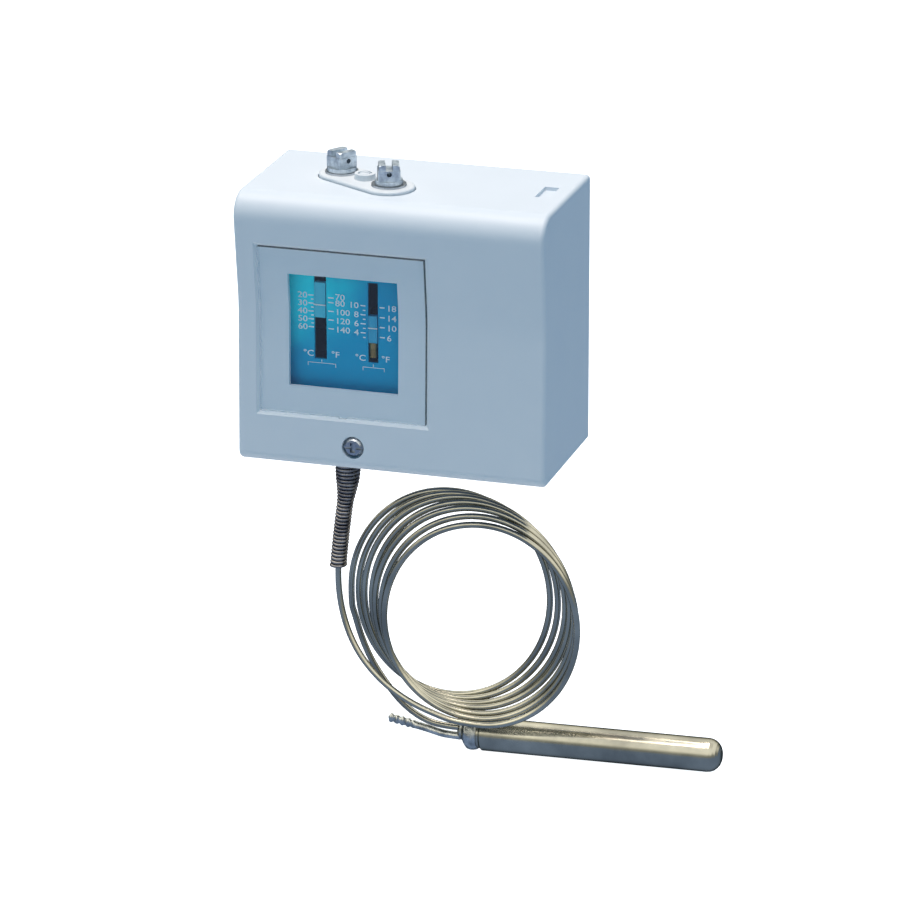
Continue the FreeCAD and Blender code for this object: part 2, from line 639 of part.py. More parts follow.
def pad_screw_place(z):
    return point((RANGE_X + DIFF_X) / 2 - 0.1, (RANGE_Y + DIFF_Y) / 2, z)


def make_spindle_pad():
    """The raised plate round the two spindles, which fills the opening in the cover's top."""
    pad = pad_shape(0, CHASSIS_TOP_Z, PAD_TOP_Z)
    top_edges = [edge for edge in pad.Edges if abs(edge.CenterOfMass.z - PAD_TOP_Z) < 1e-6
                 and edge.BoundBox.ZLength < 1e-6]
    pad = pad.makeFillet(PAD_ROUND, top_edges)
    pad = pad.fuse(rod(PAD_BOSS_RADIUS, pad_screw_place(PAD_TOP_Z - 1), PAD_BOSS_HEIGHT + 1))
    boss_top = PAD_TOP_Z + PAD_BOSS_HEIGHT
    pad = pad.cut(rod(PAD_SCREW_HEAD_RADIUS + 0.2, pad_screw_place(boss_top - PAD_SCREW_SINK),
                      PAD_SCREW_SINK + 1))
    pad = pad.cut(rod(PAD_SCREW_RADIUS + RUNNING_CLEARANCE, pad_screw_place(CHASSIS_TOP_Z - 1),
                      PAD_TOP_Z))
    for x, y in ((RANGE_X, RANGE_Y), (DIFF_X, DIFF_Y)):
        pad = pad.cut(rod(BUSHING_RADIUS + RUNNING_CLEARANCE, point(x, y, CHASSIS_TOP_Z - 1),
                          PAD_TOP_Z))
    return pad


def make_pad_screw():
    seat = pad_screw_place(PAD_TOP_Z + PAD_BOSS_HEIGHT - PAD_SCREW_SINK)
    length = seat.z - FLANGE_UNDER_Z
    return slotted_screw(PAD_SCREW_HEAD_RADIUS, PAD_SCREW_HEAD_HEIGHT, PAD_SCREW_RADIUS,
                         length, seat, Z_AXIS)


def make_bushing(x, y, flange_radius):
    """A flanged bush that carries a spindle in the pad and the chassis."""
    bore = SHAFT_RADIUS + RUNNING_CLEARANCE
    profile = [(bore, FLANGE_UNDER_Z), (BUSHING_RADIUS, FLANGE_UNDER_Z),
               (BUSHING_RADIUS, PAD_TOP_Z), (flange_radius, PAD_TOP_Z),
               (flange_radius, PAD_TOP_Z + BUSHING_FLANGE_HEIGHT),
               (bore, PAD_TOP_Z + BUSHING_FLANGE_HEIGHT)]
    return turned(profile, point(x, y, 0))


def make_spindle(x, y, collar_radius, turn, hole_turn):
    """Setting spindle: slotted square head, collar, shaft and threaded end."""
    head_z = HEAD_SEAT_Z + COLLAR_HEIGHT
    top_z = head_z + HEAD_HEIGHT
    half = HEAD_FLATS / 2
    head = box((-half, half), (-half, half), (head_z, top_z - HEAD_STEP_DROP))
    half -= HEAD_STEP
    head = head.fuse(box((-half, half), (-half, half), (head_z, top_z)))
    blank = [(0, head_z), (HEAD_CORNER_RADIUS, head_z), (HEAD_CORNER_RADIUS, top_z - HEAD_CHAMFER),
             (HEAD_CORNER_RADIUS - 1.6 * HEAD_CHAMFER, top_z), (0, top_z)]
    head = head.common(turned(blank, point(0, 0, 0)))
    head = head.cut(box((-HEAD_SLOT_WIDTH / 2, HEAD_SLOT_WIDTH / 2), (-HEAD_FLATS, HEAD_FLATS),
                        (top_z - HEAD_SLOT_DEPTH, top_z + 1)))
    direction = FreeCAD.Rotation(Z_AXIS, hole_turn).multVec(Y_AXIS)
    head = head.cut(rod(SEAL_HOLE_RADIUS, point(0, 0, top_z - SEAL_HOLE_DROP)
                        - direction * HEAD_FLATS, 2 * HEAD_FLATS, direction))
    head.rotate(point(0, 0, 0), Z_AXIS, turn)
    stem = [(0, THREAD_END_Z), (THREAD_RADIUS - 0.6, THREAD_END_Z),
            (THREAD_RADIUS, THREAD_END_Z + 0.6), (THREAD_RADIUS, FLANGE_UNDER_Z - 4),
            (SHAFT_RADIUS, FLANGE_UNDER_Z - 4), (SHAFT_RADIUS, HEAD_SEAT_Z),
            (collar_radius, HEAD_SEAT_Z), (collar_radius, head_z), (0, head_z)]
    spindle = head.fuse(turned(stem, point(0, 0, 0)))
    spindle.translate(point(x, y, 0))
    return spindle.removeSplitter()


def make_clip(x, y):
    """The retaining clip that holds a spindle under the chassis flange."""
    low = FLANGE_UNDER_Z - RUNNING_CLEARANCE - CLIP_THICKNESS
    clip = ring(CLIP_RADIUS, SHAFT_RADIUS + 0.02, point(x, y, low), CLIP_THICKNESS)
    gap = SHAFT_RADIUS * 0.8
    return clip.cut(box((x - gap / 2, x + gap / 2), (y - CLIP_RADIUS - 1, y - 1),
                        (low - 1, low + CLIP_THICKNESS + 1)))


def make_carriage(x, y, slot_x, nut_height, pointer_z):
    """The travelling nut on a spindle's thread, with the arm that carries its pointer."""
    nut = rod(NUT_RADIUS, point(x, y, pointer_z - nut_height / 2), nut_height)
    arm = box((slot_x - ARM_THICKNESS / 2, slot_x + ARM_THICKNESS / 2),
              (pointer_back_y(), y - SHAFT_RADIUS),
              (pointer_z - ARM_HEIGHT / 2, pointer_z + ARM_HEIGHT / 2))
    nut = nut.fuse(arm)
    bore = THREAD_RADIUS + RUNNING_CLEARANCE
    nut = nut.cut(rod(bore, point(x, y, pointer_z - nut_height), 2 * nut_height))
    return nut.removeSplitter()


def pointer_back_y():
    return SCALE_FRONT_Y - POINTER_PROUD + POINTER_DEPTH


def make_pointer(slot_x, slot_width, pointer_z, below, above):
    """The coloured pointer that runs in a slot of the scale plate."""
    half = slot_width / 2 - POINTER_GAP
    low, high = pointer_z - below, pointer_z + above
    body = box((slot_x - half, slot_x + half), (pointer_back_y() - POINTER_DEPTH, pointer_back_y()),
               (low, high))
    groove = box((slot_x - half - 1, slot_x + half + 1),
                 (pointer_back_y() - POINTER_DEPTH - 1, pointer_back_y() - POINTER_DEPTH + 0.25),
                 (pointer_z - 0.3, pointer_z + 0.3))
    return body.cut(groove)


def make_pointer_screw():
    """The brass adjusting screw under the differential pointer."""
    place = point(DIFF_SLOT_X, pointer_back_y() - POINTER_DEPTH / 2,
                  DIFF_POINTER_Z - DIFF_POINTER_BELOW - POINTER_SCREW_LENGTH)
    return rod(POINTER_SCREW_RADIUS, place, POINTER_SCREW_LENGTH)


def scale_ear_places():
    """Where the two pillars hold the scale plate."""
    left = WINDOW_X - SCALE_WIDTH / 2 - SCALE_EAR_WIDTH / 2
    right = WINDOW_X + SCALE_WIDTH / 2 + SCALE_EAR_WIDTH / 2
    return {"left": left, "right": right}


def make_scale_plate():
    half = SCALE_WIDTH / 2
    thickness = (SCALE_FRONT_Y, SCALE_BACK_Y)
    plate = box((WINDOW_X - half, WINDOW_X + half), thickness,
                (WINDOW_Z - SCALE_BELOW, WINDOW_Z + SCALE_ABOVE))
    plate = plate.fuse(box((WINDOW_X - half - SCALE_EAR_WIDTH, WINDOW_X + half + SCALE_EAR_WIDTH),
                           thickness, (SCALE_EAR_Z - SCALE_EAR_HEIGHT / 2,
                                       SCALE_EAR_Z + SCALE_EAR_HEIGHT / 2)))
    slots = [(RANGE_SLOT_X, RANGE_SLOT_WIDTH, RANGE_SLOT_BELOW, RANGE_SLOT_ABOVE),
             (DIFF_SLOT_X, DIFF_SLOT_WIDTH, DIFF_SLOT_BELOW, DIFF_SLOT_ABOVE)]
    for x, width, below, above in slots:
        plate = plate.cut(box((x - width / 2, x + width / 2),
                              (SCALE_FRONT_Y - 1, SCALE_BACK_Y + 1),
                              (WINDOW_Z - below, WINDOW_Z + above)))
    for x in scale_ear_places().values():
        plate = plate.cut(rod(SMALL_SCREW_RADIUS + 0.1,
                              point(x, SCALE_FRONT_Y - 1, SCALE_EAR_Z), 4, Y_AXIS))
    return plate.removeSplitter()


def make_scale_pillar(x):
    """A post from the back plate to the scale plate, threaded for the scale's screw."""
    length = -SHEET - SCALE_BACK_Y
    pillar = rod(PILLAR_RADIUS, point(x, SCALE_BACK_Y, SCALE_EAR_Z), length, Y_AXIS)
    return pillar.cut(rod(SMALL_SCREW_RADIUS, point(x, SCALE_BACK_Y, SCALE_EAR_Z),
                          SMALL_SCREW_LENGTH, Y_AXIS))


def make_scale_screw(x):
    return slotted_screw(SMALL_SCREW_HEAD_RADIUS, SMALL_SCREW_HEAD_HEIGHT, SMALL_SCREW_RADIUS,
                         SMALL_SCREW_LENGTH, point(x, SCALE_FRONT_Y, SCALE_EAR_Z), -Y_AXIS)


def make_lever():
    """Channel-shaped main lever on its pivot pin, with a tongue that reaches the switch."""
    left = PIVOT_X - LEVER_TAIL
    depth = (LEVER_FRONT_Y, LEVER_BACK_Y)
    web = box((left, LEVER_END_X), depth, (LEVER_UNDER_Z, LEVER_TOP_Z))
    middle_y = (LEVER_FRONT_Y + LEVER_BACK_Y) / 2
    web = web.fuse(box((left, TONGUE_END_X), (middle_y - TONGUE_WIDTH / 2,
                                              middle_y + TONGUE_WIDTH / 2),
                       (LEVER_UNDER_Z, LEVER_TOP_Z)))
    for low_y in (LEVER_FRONT_Y, LEVER_BACK_Y - SHEET):
        flange = box((left, LEVER_END_X), (low_y, low_y + SHEET),
                     (LEVER_TOP_Z - LEVER_FLANGE_HEIGHT, LEVER_TOP_Z))
        web = web.fuse(flange)
    web = web.removeSplitter()
    return web.cut(rod(PIN_RADIUS + RUNNING_CLEARANCE, point(PIVOT_X, LEVER_FRONT_Y - 1, PIVOT_Z),
                       LEVER_BACK_Y - LEVER_FRONT_Y + 2, Y_AXIS))


def bracket_ears():
    """The two ears' low and high side along Y, outside the lever's flanges."""
    front = LEVER_FRONT_Y - SIDE_PLAY
    back = LEVER_BACK_Y + SIDE_PLAY
    return [(front - SHEET, front), (back, back + SHEET)]


def make_lever_bracket():
    """Bent bracket on the back plate whose two ears hold the lever's pivot pin."""
    (front_low, _), _ = bracket_ears()
    left = -CHASSIS_HALF_WIDTH + CHASSIS_GAP
    height = (PIVOT_Z - BRACKET_HEIGHT / 2, PIVOT_Z + BRACKET_HEIGHT / 2)
    bracket = box((left, left + SHEET), (front_low, -SHEET), height)
    for ear in bracket_ears():
        bracket = bracket.fuse(box((left, PIVOT_X + BRACKET_REACH / 2 + 1), ear, height))
    bracket = bracket.fuse(box((left, PIVOT_X + BRACKET_REACH), (-2 * SHEET, -SHEET), height))
    bracket = bracket.removeSplitter()
    return bracket.cut(rod(PIN_RADIUS, point(PIVOT_X, front_low - 1, PIVOT_Z),
                           -front_low, Y_AXIS).common(
        box((left, PIVOT_X + BRACKET_REACH), (front_low - 1, bracket_ears()[1][1] + 0.5), height)))


def make_pivot_pin():
    (front_low, _), (_, back_high) = bracket_ears()
    pin = rod(PIN_RADIUS, point(PIVOT_X, front_low, PIVOT_Z), back_high - front_low, Y_AXIS)
    return pin.fuse(rod(PIN_RADIUS + 1, point(PIVOT_X, front_low - 1, PIVOT_Z), 1, Y_AXIS))


def make_spring_seat():
    """The cup washer on the lever that centres the range spring."""
    spigot = RANGE_SPRING_RADIUS - RANGE_SPRING_WIRE / 2 - 0.3
    profile = [(0, 0), (SPRING_SEAT_RADIUS, 0), (SPRING_SEAT_RADIUS, SPRING_SEAT_HEIGHT),
               (spigot, SPRING_SEAT_HEIGHT), (spigot, SPRING_SEAT_HEIGHT + SPRING_SEAT_SPIGOT),
               (0, SPRING_SEAT_HEIGHT + SPRING_SEAT_SPIGOT)]
    return turned(profile, point(RANGE_X, RANGE_Y, LEVER_TOP_Z))


def make_spring_anchor():
    """The plug on the lever that holds the lower end of the differential spring."""
    spigot = DIFF_SPRING_RADIUS - DIFF_SPRING_WIRE / 2 - 0.2
    profile = [(0, 0), (DIFF_SPRING_RADIUS + 1, 0), (DIFF_SPRING_RADIUS + 1, SPRING_SEAT_HEIGHT),
               (spigot, SPRING_SEAT_HEIGHT), (spigot, SPRING_SEAT_HEIGHT + SPRING_SEAT_SPIGOT),
               (0, SPRING_SEAT_HEIGHT + SPRING_SEAT_SPIGOT)]
    return turned(profile, point(DIFF_X, DIFF_Y, LEVER_TOP_Z))


def make_setting_spring(x, y, radius, wire, turns, nut_under_z):
    low = LEVER_TOP_Z + SPRING_SEAT_HEIGHT + SPRING_END_GAP
    return coil_spring(radius, wire, turns, point(x, y, low), nut_under_z - SPRING_END_GAP - low)


def make_bellows_cup():
    """The deep-drawn can of the pressure element, standing on the chassis floor."""
    inner = CUP_RADIUS - CUP_WALL
    profile = [(0, 0), (CUP_RADIUS, 0), (CUP_RADIUS, CUP_HEIGHT), (inner, CUP_HEIGHT),
               (inner, CUP_WALL), (0, CUP_WALL)]
    return turned(profile, point(BELLOWS_X, BELLOWS_Y, FLOOR_Z))


def make_bellows_cap():
    """The lid of the can, whose bore guides the pusher."""
    bore = PUSHER_RADIUS + RUNNING_CLEARANCE
    profile = [(bore, 0), (CUP_RADIUS, 0), (CUP_RADIUS, CUP_CAP_THICKNESS),
               (PUSHER_RADIUS + 2, CUP_CAP_THICKNESS), (PUSHER_RADIUS + 2, CUP_CAP_THICKNESS + 1),
               (bore, CUP_CAP_THICKNESS + 1)]
    return turned(profile, point(BELLOWS_X, BELLOWS_Y, CUP_TOP_Z))


def make_bellows():
    """The folded bellows, fixed to the lid and closed at its lower end."""
    floor = FLOOR_Z + CUP_WALL + BELLOWS_FLOOR_GAP
    fold = (CUP_TOP_Z - floor - BELLOWS_SKIN) / BELLOWS_FOLDS
    outer = [(0, floor), (BELLOWS_ROOT, floor)]
    inner = [(0, floor + BELLOWS_SKIN), (BELLOWS_ROOT - BELLOWS_SKIN, floor + BELLOWS_SKIN)]
    for index in range(BELLOWS_FOLDS):
        base = floor + BELLOWS_SKIN + index * fold
        outer += [(BELLOWS_CREST, base + 0.4 * fold), (BELLOWS_ROOT, base + fold)]
        inner += [(BELLOWS_CREST - 1.4 * BELLOWS_SKIN, base + 0.4 * fold),
                  (BELLOWS_ROOT - BELLOWS_SKIN, base + fold)]
    return turned(outer + inner[::-1], point(BELLOWS_X, BELLOWS_Y, 0))


def make_pusher():
    """The push rod that stands in the bellows and lifts the lever."""
    foot = FLOOR_Z + CUP_WALL + BELLOWS_FLOOR_GAP + BELLOWS_SKIN
    top = LEVER_UNDER_Z - PUSHER_TIP_GAP
    profile = [(0, foot), (PUSHER_FOOT_RADIUS, foot),
               (PUSHER_FOOT_RADIUS, foot + PUSHER_FOOT_HEIGHT),
               (PUSHER_RADIUS, foot + PUSHER_FOOT_HEIGHT), (PUSHER_RADIUS, top - 1),
               (PUSHER_RADIUS - 1, top), (0, top)]
    return turned(profile, point(BELLOWS_X, BELLOWS_Y, 0))


def make_ferrule():
    """The brass stem under the can that the capillary and its guard spring leave from."""
    end = CHASSIS_BOTTOM_Z - FERRULE_LENGTH
    profile = [(0, end), (FERRULE_STEM_RADIUS, end),
               (FERRULE_STEM_RADIUS, CHASSIS_BOTTOM_Z - FERRULE_FLANGE),
               (FERRULE_RADIUS, CHASSIS_BOTTOM_Z - FERRULE_FLANGE),
               (FERRULE_RADIUS, CHASSIS_BOTTOM_Z), (FERRULE_STEM_RADIUS, CHASSIS_BOTTOM_Z),
               (FERRULE_STEM_RADIUS, FLOOR_Z), (0, FLOOR_Z)]
    return turned(profile, point(BELLOWS_X, BELLOWS_Y, 0))


def guard_radius(drop):
    """The guard spring's outer radius at this distance below its top."""
    share = (drop - GUARD_TAPER_START) / (GUARD_TAPER_END - GUARD_TAPER_START)
    share = min(1.0, max(0.0, share))
    return GUARD_TOP_RADIUS + (GUARD_END_RADIUS - GUARD_TOP_RADIUS) * share


def make_guard_spring():
    """The close-wound guard spring over the capillary, as a sleeve with one rib per turn."""
    turns = int(GUARD_LENGTH / GUARD_PITCH)
    outer = []
    for index in range(turns):
        top = index * GUARD_PITCH
        outer += [(guard_radius(top) - GUARD_WIRE / 2, -top),
                  (guard_radius(top + GUARD_PITCH / 2), -top - GUARD_PITCH / 2)]
    length = turns * GUARD_PITCH
    outer.append((GUARD_END_RADIUS - GUARD_WIRE / 2, -length))
    inner = [(GUARD_TOP_RADIUS - GUARD_WIRE, 0),
             (GUARD_TOP_RADIUS - GUARD_WIRE, -GUARD_TAPER_START),
             (GUARD_END_RADIUS - GUARD_WIRE, -GUARD_TAPER_END),
             (GUARD_END_RADIUS - GUARD_WIRE, -length)]
    top_z = CHASSIS_BOTTOM_Z - FERRULE_FLANGE - GUARD_SEAT_GAP
    return turned(inner[::-1] + outer, point(BELLOWS_X, BELLOWS_Y, top_z), tilt=GUARD_LEAN)


def from_exit(place):
    """A place on the capillary, given from the point where it leaves the ferrule."""
    return point(*EXIT) + point(*place)


def coil_ring(front, grow):
    """An ellipse round the coil's axis at the front or the back of the coil."""
    first, last = from_exit(COIL_FIRST_CENTRE), from_exit(COIL_LAST_CENTRE)
    step = (last - first) * (CAPILLARY_RADIUS / (last.y - first.y))
    centre = first - step if front else last + step
    radius_x, radius_z = COIL_FIRST_RADII if front else COIL_LAST_RADII
    edge = Part.Ellipse(point(0, 0, 0), radius_z + grow, radius_x + grow).toShape()
    edge.rotate(point(0, 0, 0), Y_AXIS, 90)
    edge.rotate(point(0, 0, 0), Z_AXIS, 90)
    edge.translate(centre)
    return Part.Wire(edge)


def make_capillary(route, name):
    """A stretch of the capillary that isn't wound."""
    return smooth_tube([from_exit(place) for place in route], CAPILLARY_RADIUS, name)


def make_capillary_coil():
    """The wound capillary's outer shape: an oblique oval tube."""
    grow = CAPILLARY_RADIUS + COIL_SPREAD
    outer = Part.makeLoft([coil_ring(True, grow), coil_ring(False, grow)], True, True)
    inner = Part.makeLoft([coil_ring(True, -grow), coil_ring(False, -grow)], True, True)
    return outer.cut(inner)


def bulb_piece(profile):
    """Turns a profile about the bulb's axis, from the neck's left end."""
    return turned(profile, from_exit(BULB_OFFSET), X_AXIS, BULB_TILT)


def make_bulb_neck():
    end = NECK_CONE_LENGTH + NECK_LENGTH
    return bulb_piece([
        (0, 0), (NECK_CONE_RADIUS, 0), (NECK_RADIUS - NECK_ROUND, NECK_CONE_LENGTH - 0.4),
        (NECK_RADIUS, NECK_CONE_LENGTH + NECK_ROUND), (NECK_RADIUS, end - NECK_ROUND),
        (NECK_RADIUS - NECK_ROUND, end), (0, end)])


def make_bulb():
    start = NECK_CONE_LENGTH + NECK_LENGTH
    waist = BULB_RADIUS - BULB_GROOVE_DEPTH
    profile = [(0, start), (waist, start), (waist, start + BULB_GROOVE_WIDTH / 2),
               (BULB_RADIUS, start + BULB_GROOVE_WIDTH)]
    shoulder = start + BULB_LENGTH - BULB_DOME
    steps = 6
    for index in range(steps + 1):
        angle = math.pi / 2 * index / steps
        radius = BULB_TIP_RADIUS + (BULB_RADIUS - BULB_TIP_RADIUS) * math.cos(angle)
        profile.append((radius, shoulder + BULB_DOME * math.sin(angle)))
    profile.append((0, start + BULB_LENGTH))
    return bulb_piece(profile)


def make_filling_stub():
    """The pinched-off filling tube beside the capillary at the bulb's neck."""
    start = from_exit(BULB_OFFSET) + point(0, 0, -STUB_DROP)
    route = [start + point(x, 0, z) for x, z in STUB_ROUTE]
    tube = smooth_tube(route, STUB_RADIUS, "filling_stub")
    end = route[-1]
    ahead = (end - route[-2]).normalize()
    half_width, half_depth = STUB_CRIMP_WIDTH / 2, STUB_CRIMP_THICKNESS / 2
    crimp = box((-1.5, STUB_CRIMP_LENGTH), (-half_depth, half_depth), (-half_width, half_width))
    long_edges = [edge for edge in crimp.Edges if edge.BoundBox.XLength > STUB_CRIMP_LENGTH / 2]
    crimp = crimp.makeFillet(half_depth * 0.8, long_edges)
    crimp.Placement = FreeCAD.Placement(end, FreeCAD.Rotation(X_AXIS, ahead))
    return tube.fuse(crimp)


def make_switch_body():
    """Moulded switch housing, open to the front, with a bore for the plunger."""
    body = box((SWITCH_LEFT_X, SWITCH_RIGHT_X), (SWITCH_FRONT_Y, SWITCH_BACK_Y),
               (SWITCH_BOTTOM_Z, SWITCH_TOP_Z))
    body = body.cut(box((SWITCH_LEFT_X + SWITCH_WALL, SWITCH_RIGHT_X - SWITCH_WALL),
                        (SWITCH_FRONT_Y - 1, SWITCH_BACK_Y - SWITCH_WALL),
                        (SWITCH_BOTTOM_Z + SWITCH_WALL, SWITCH_TOP_Z - SWITCH_WALL)))
    body = body.fuse(box((SWITCH_LEFT_X, SWITCH_RIGHT_X), (SWITCH_BACK_Y, -SHEET),
                         (SWITCH_TOP_Z - 2 * SWITCH_WALL, SWITCH_TOP_Z)))
    body = body.removeSplitter()
    return body.cut(rod(PLUNGER_RADIUS + RUNNING_CLEARANCE,
                        point(PLUNGER_X, switch_middle_y(), SWITCH_BOTTOM_Z - 1), SWITCH_WALL + 2))


def switch_middle_y():
    return (LEVER_FRONT_Y + LEVER_BACK_Y) / 2


def make_switch_plunger():
    low = LEVER_TOP_Z + PLUNGER_GAP
    length = CONTACT_ARM_Z - PLUNGER_GAP - low
    shank = rod(PLUNGER_RADIUS, point(PLUNGER_X, switch_middle_y(), low), length)
    tip = [edge for edge in shank.Edges if edge.BoundBox.ZLength < 1e-6]
    return shank.makeChamfer(0.4, tip)


def make_contact_arm():
    """The moving contact arm, hinged on its pin at the right of the switch."""
    y = switch_middle_y()
    half = CONTACT_ARM_WIDTH / 2
    top = CONTACT_ARM_Z + CONTACT_ARM_THICKNESS
    arm = box((PLUNGER_X - 0.6, ARM_PIVOT_X), (y - half, y + half), (CONTACT_ARM_Z, top))
    eye_radius = CONTACT_ARM_THICKNESS + 1.2
    arm = arm.fuse(rod(eye_radius, point(ARM_PIVOT_X, y - half, pivot_height()),
                       CONTACT_ARM_WIDTH, Y_AXIS))
    arm = arm.fuse(rod(CONTACT_BUTTON_RADIUS, point(contact_x(), y, top - 0.1),
                       CONTACT_BUTTON_HEIGHT + 0.1))
    arm = arm.removeSplitter()
    return arm.cut(rod(1.0 + RUNNING_CLEARANCE, point(ARM_PIVOT_X, y - half - 1, pivot_height()),
                       CONTACT_ARM_WIDTH + 2, Y_AXIS))


def pivot_height():
    return CONTACT_ARM_Z + CONTACT_ARM_THICKNESS / 2


def contact_x():
    return PLUNGER_X + 3.5


def make_contact_pin():
    """The contact arm's hinge pin, pressed into the switch's back wall."""
    y_end = SWITCH_BACK_Y - SWITCH_WALL
    start = switch_middle_y() - CONTACT_ARM_WIDTH / 2 - 0.6
    return rod(1.0, point(ARM_PIVOT_X, start, pivot_height()), y_end - start, Y_AXIS)


def make_fixed_contact():
    """The fixed contact strip above the arm, held by the switch's left wall."""
    y = switch_middle_y()
    low = CONTACT_ARM_Z + CONTACT_ARM_THICKNESS + CONTACT_BUTTON_HEIGHT + CONTACT_GAP_ABOVE
    start = SWITCH_LEFT_X + SWITCH_WALL
    strip = box((start, contact_x() + 3), (y - 3, y + 3), (low, low + CONTACT_STRIP_THICKNESS))
    strip = strip.fuse(box((start, start + CONTACT_STRIP_THICKNESS), (y - 3, y + 3),
                           (low, SWITCH_TOP_Z - SWITCH_WALL)))
    button = rod(CONTACT_BUTTON_RADIUS, point(contact_x(), y, low - CONTACT_BUTTON_HEIGHT),
                 CONTACT_BUTTON_HEIGHT + 0.1)
    return strip.fuse(button).removeSplitter()


def terminal_places():
    middle = (BLOCK_LEFT_X + BLOCK_RIGHT_X) / 2
    first = middle - TERMINAL_PITCH * (TERMINAL_COUNT - 1) / 2
    return [first + TERMINAL_PITCH * index for index in range(TERMINAL_COUNT)]


def terminal_z():
    return (BLOCK_BOTTOM_Z + BLOCK_TOP_Z) / 2


def make_terminal_block():
    block = box((BLOCK_LEFT_X, BLOCK_RIGHT_X), (BLOCK_FRONT_Y, -SHEET),
                (BLOCK_BOTTOM_Z, BLOCK_TOP_Z))
    half = TERMINAL_CLAMP / 2 + 0.3
    for x in terminal_places():
        block = block.cut(box((x - half, x + half), (BLOCK_FRONT_Y - 1, BLOCK_FRONT_Y + 3),
                              (BLOCK_BOTTOM_Z - 1, terminal_z() + half)))
        block = block.cut(rod(TERMINAL_SCREW_RADIUS, point(x, BLOCK_FRONT_Y, terminal_z()),
                              9, Y_AXIS))
    return block


def clamp_back_y():
    return BLOCK_FRONT_Y + 3


def make_terminal_clamp(x):
    half = TERMINAL_CLAMP / 2
    clamp = box((x - half, x + half), (clamp_back_y() - TERMINAL_CLAMP_THICKNESS, clamp_back_y()),
                (terminal_z() - half, terminal_z() + half))
    return clamp.cut(rod(TERMINAL_SCREW_RADIUS + RUNNING_CLEARANCE,
                         point(x, BLOCK_FRONT_Y, terminal_z()), 9, Y_AXIS))


def make_terminal_screw(x):
    seat = point(x, clamp_back_y() - TERMINAL_CLAMP_THICKNESS, terminal_z())
    return slotted_screw(TERMINAL_SCREW_HEAD_RADIUS, 1.7, TERMINAL_SCREW_RADIUS, 6.5, seat, -Y_AXIS)


def make_earth_screw():
    return slotted_screw(SMALL_SCREW_HEAD_RADIUS + 0.6, SMALL_SCREW_HEAD_HEIGHT,
                         SMALL_SCREW_RADIUS, SHEET, point(EARTH_X, -SHEET, EARTH_Z), -Y_AXIS)


def make_cable_grommet():
    """The rubber grommet of the cable entry, gripping the edge of the chassis floor."""
    below = CHASSIS_BOTTOM_Z - GROMMET_BELOW
    lip = GROMMET_NECK_RADIUS + GROMMET_LIP
    profile = [(CABLE_BORE_RADIUS, below), (GROMMET_FLANGE_RADIUS - GROMMET_ROUND, below),
               (GROMMET_FLANGE_RADIUS, below + GROMMET_ROUND),
               (GROMMET_FLANGE_RADIUS, CHASSIS_BOTTOM_Z), (GROMMET_NECK_RADIUS, CHASSIS_BOTTOM_Z),
               (GROMMET_NECK_RADIUS, FLOOR_Z), (lip, FLOOR_Z),
               (lip - GROMMET_ROUND, FLOOR_Z + GROMMET_ABOVE),
               (CABLE_BORE_RADIUS, FLOOR_Z + GROMMET_ABOVE)]
    return turned(profile, point(CABLE_X, CABLE_Y, 0))


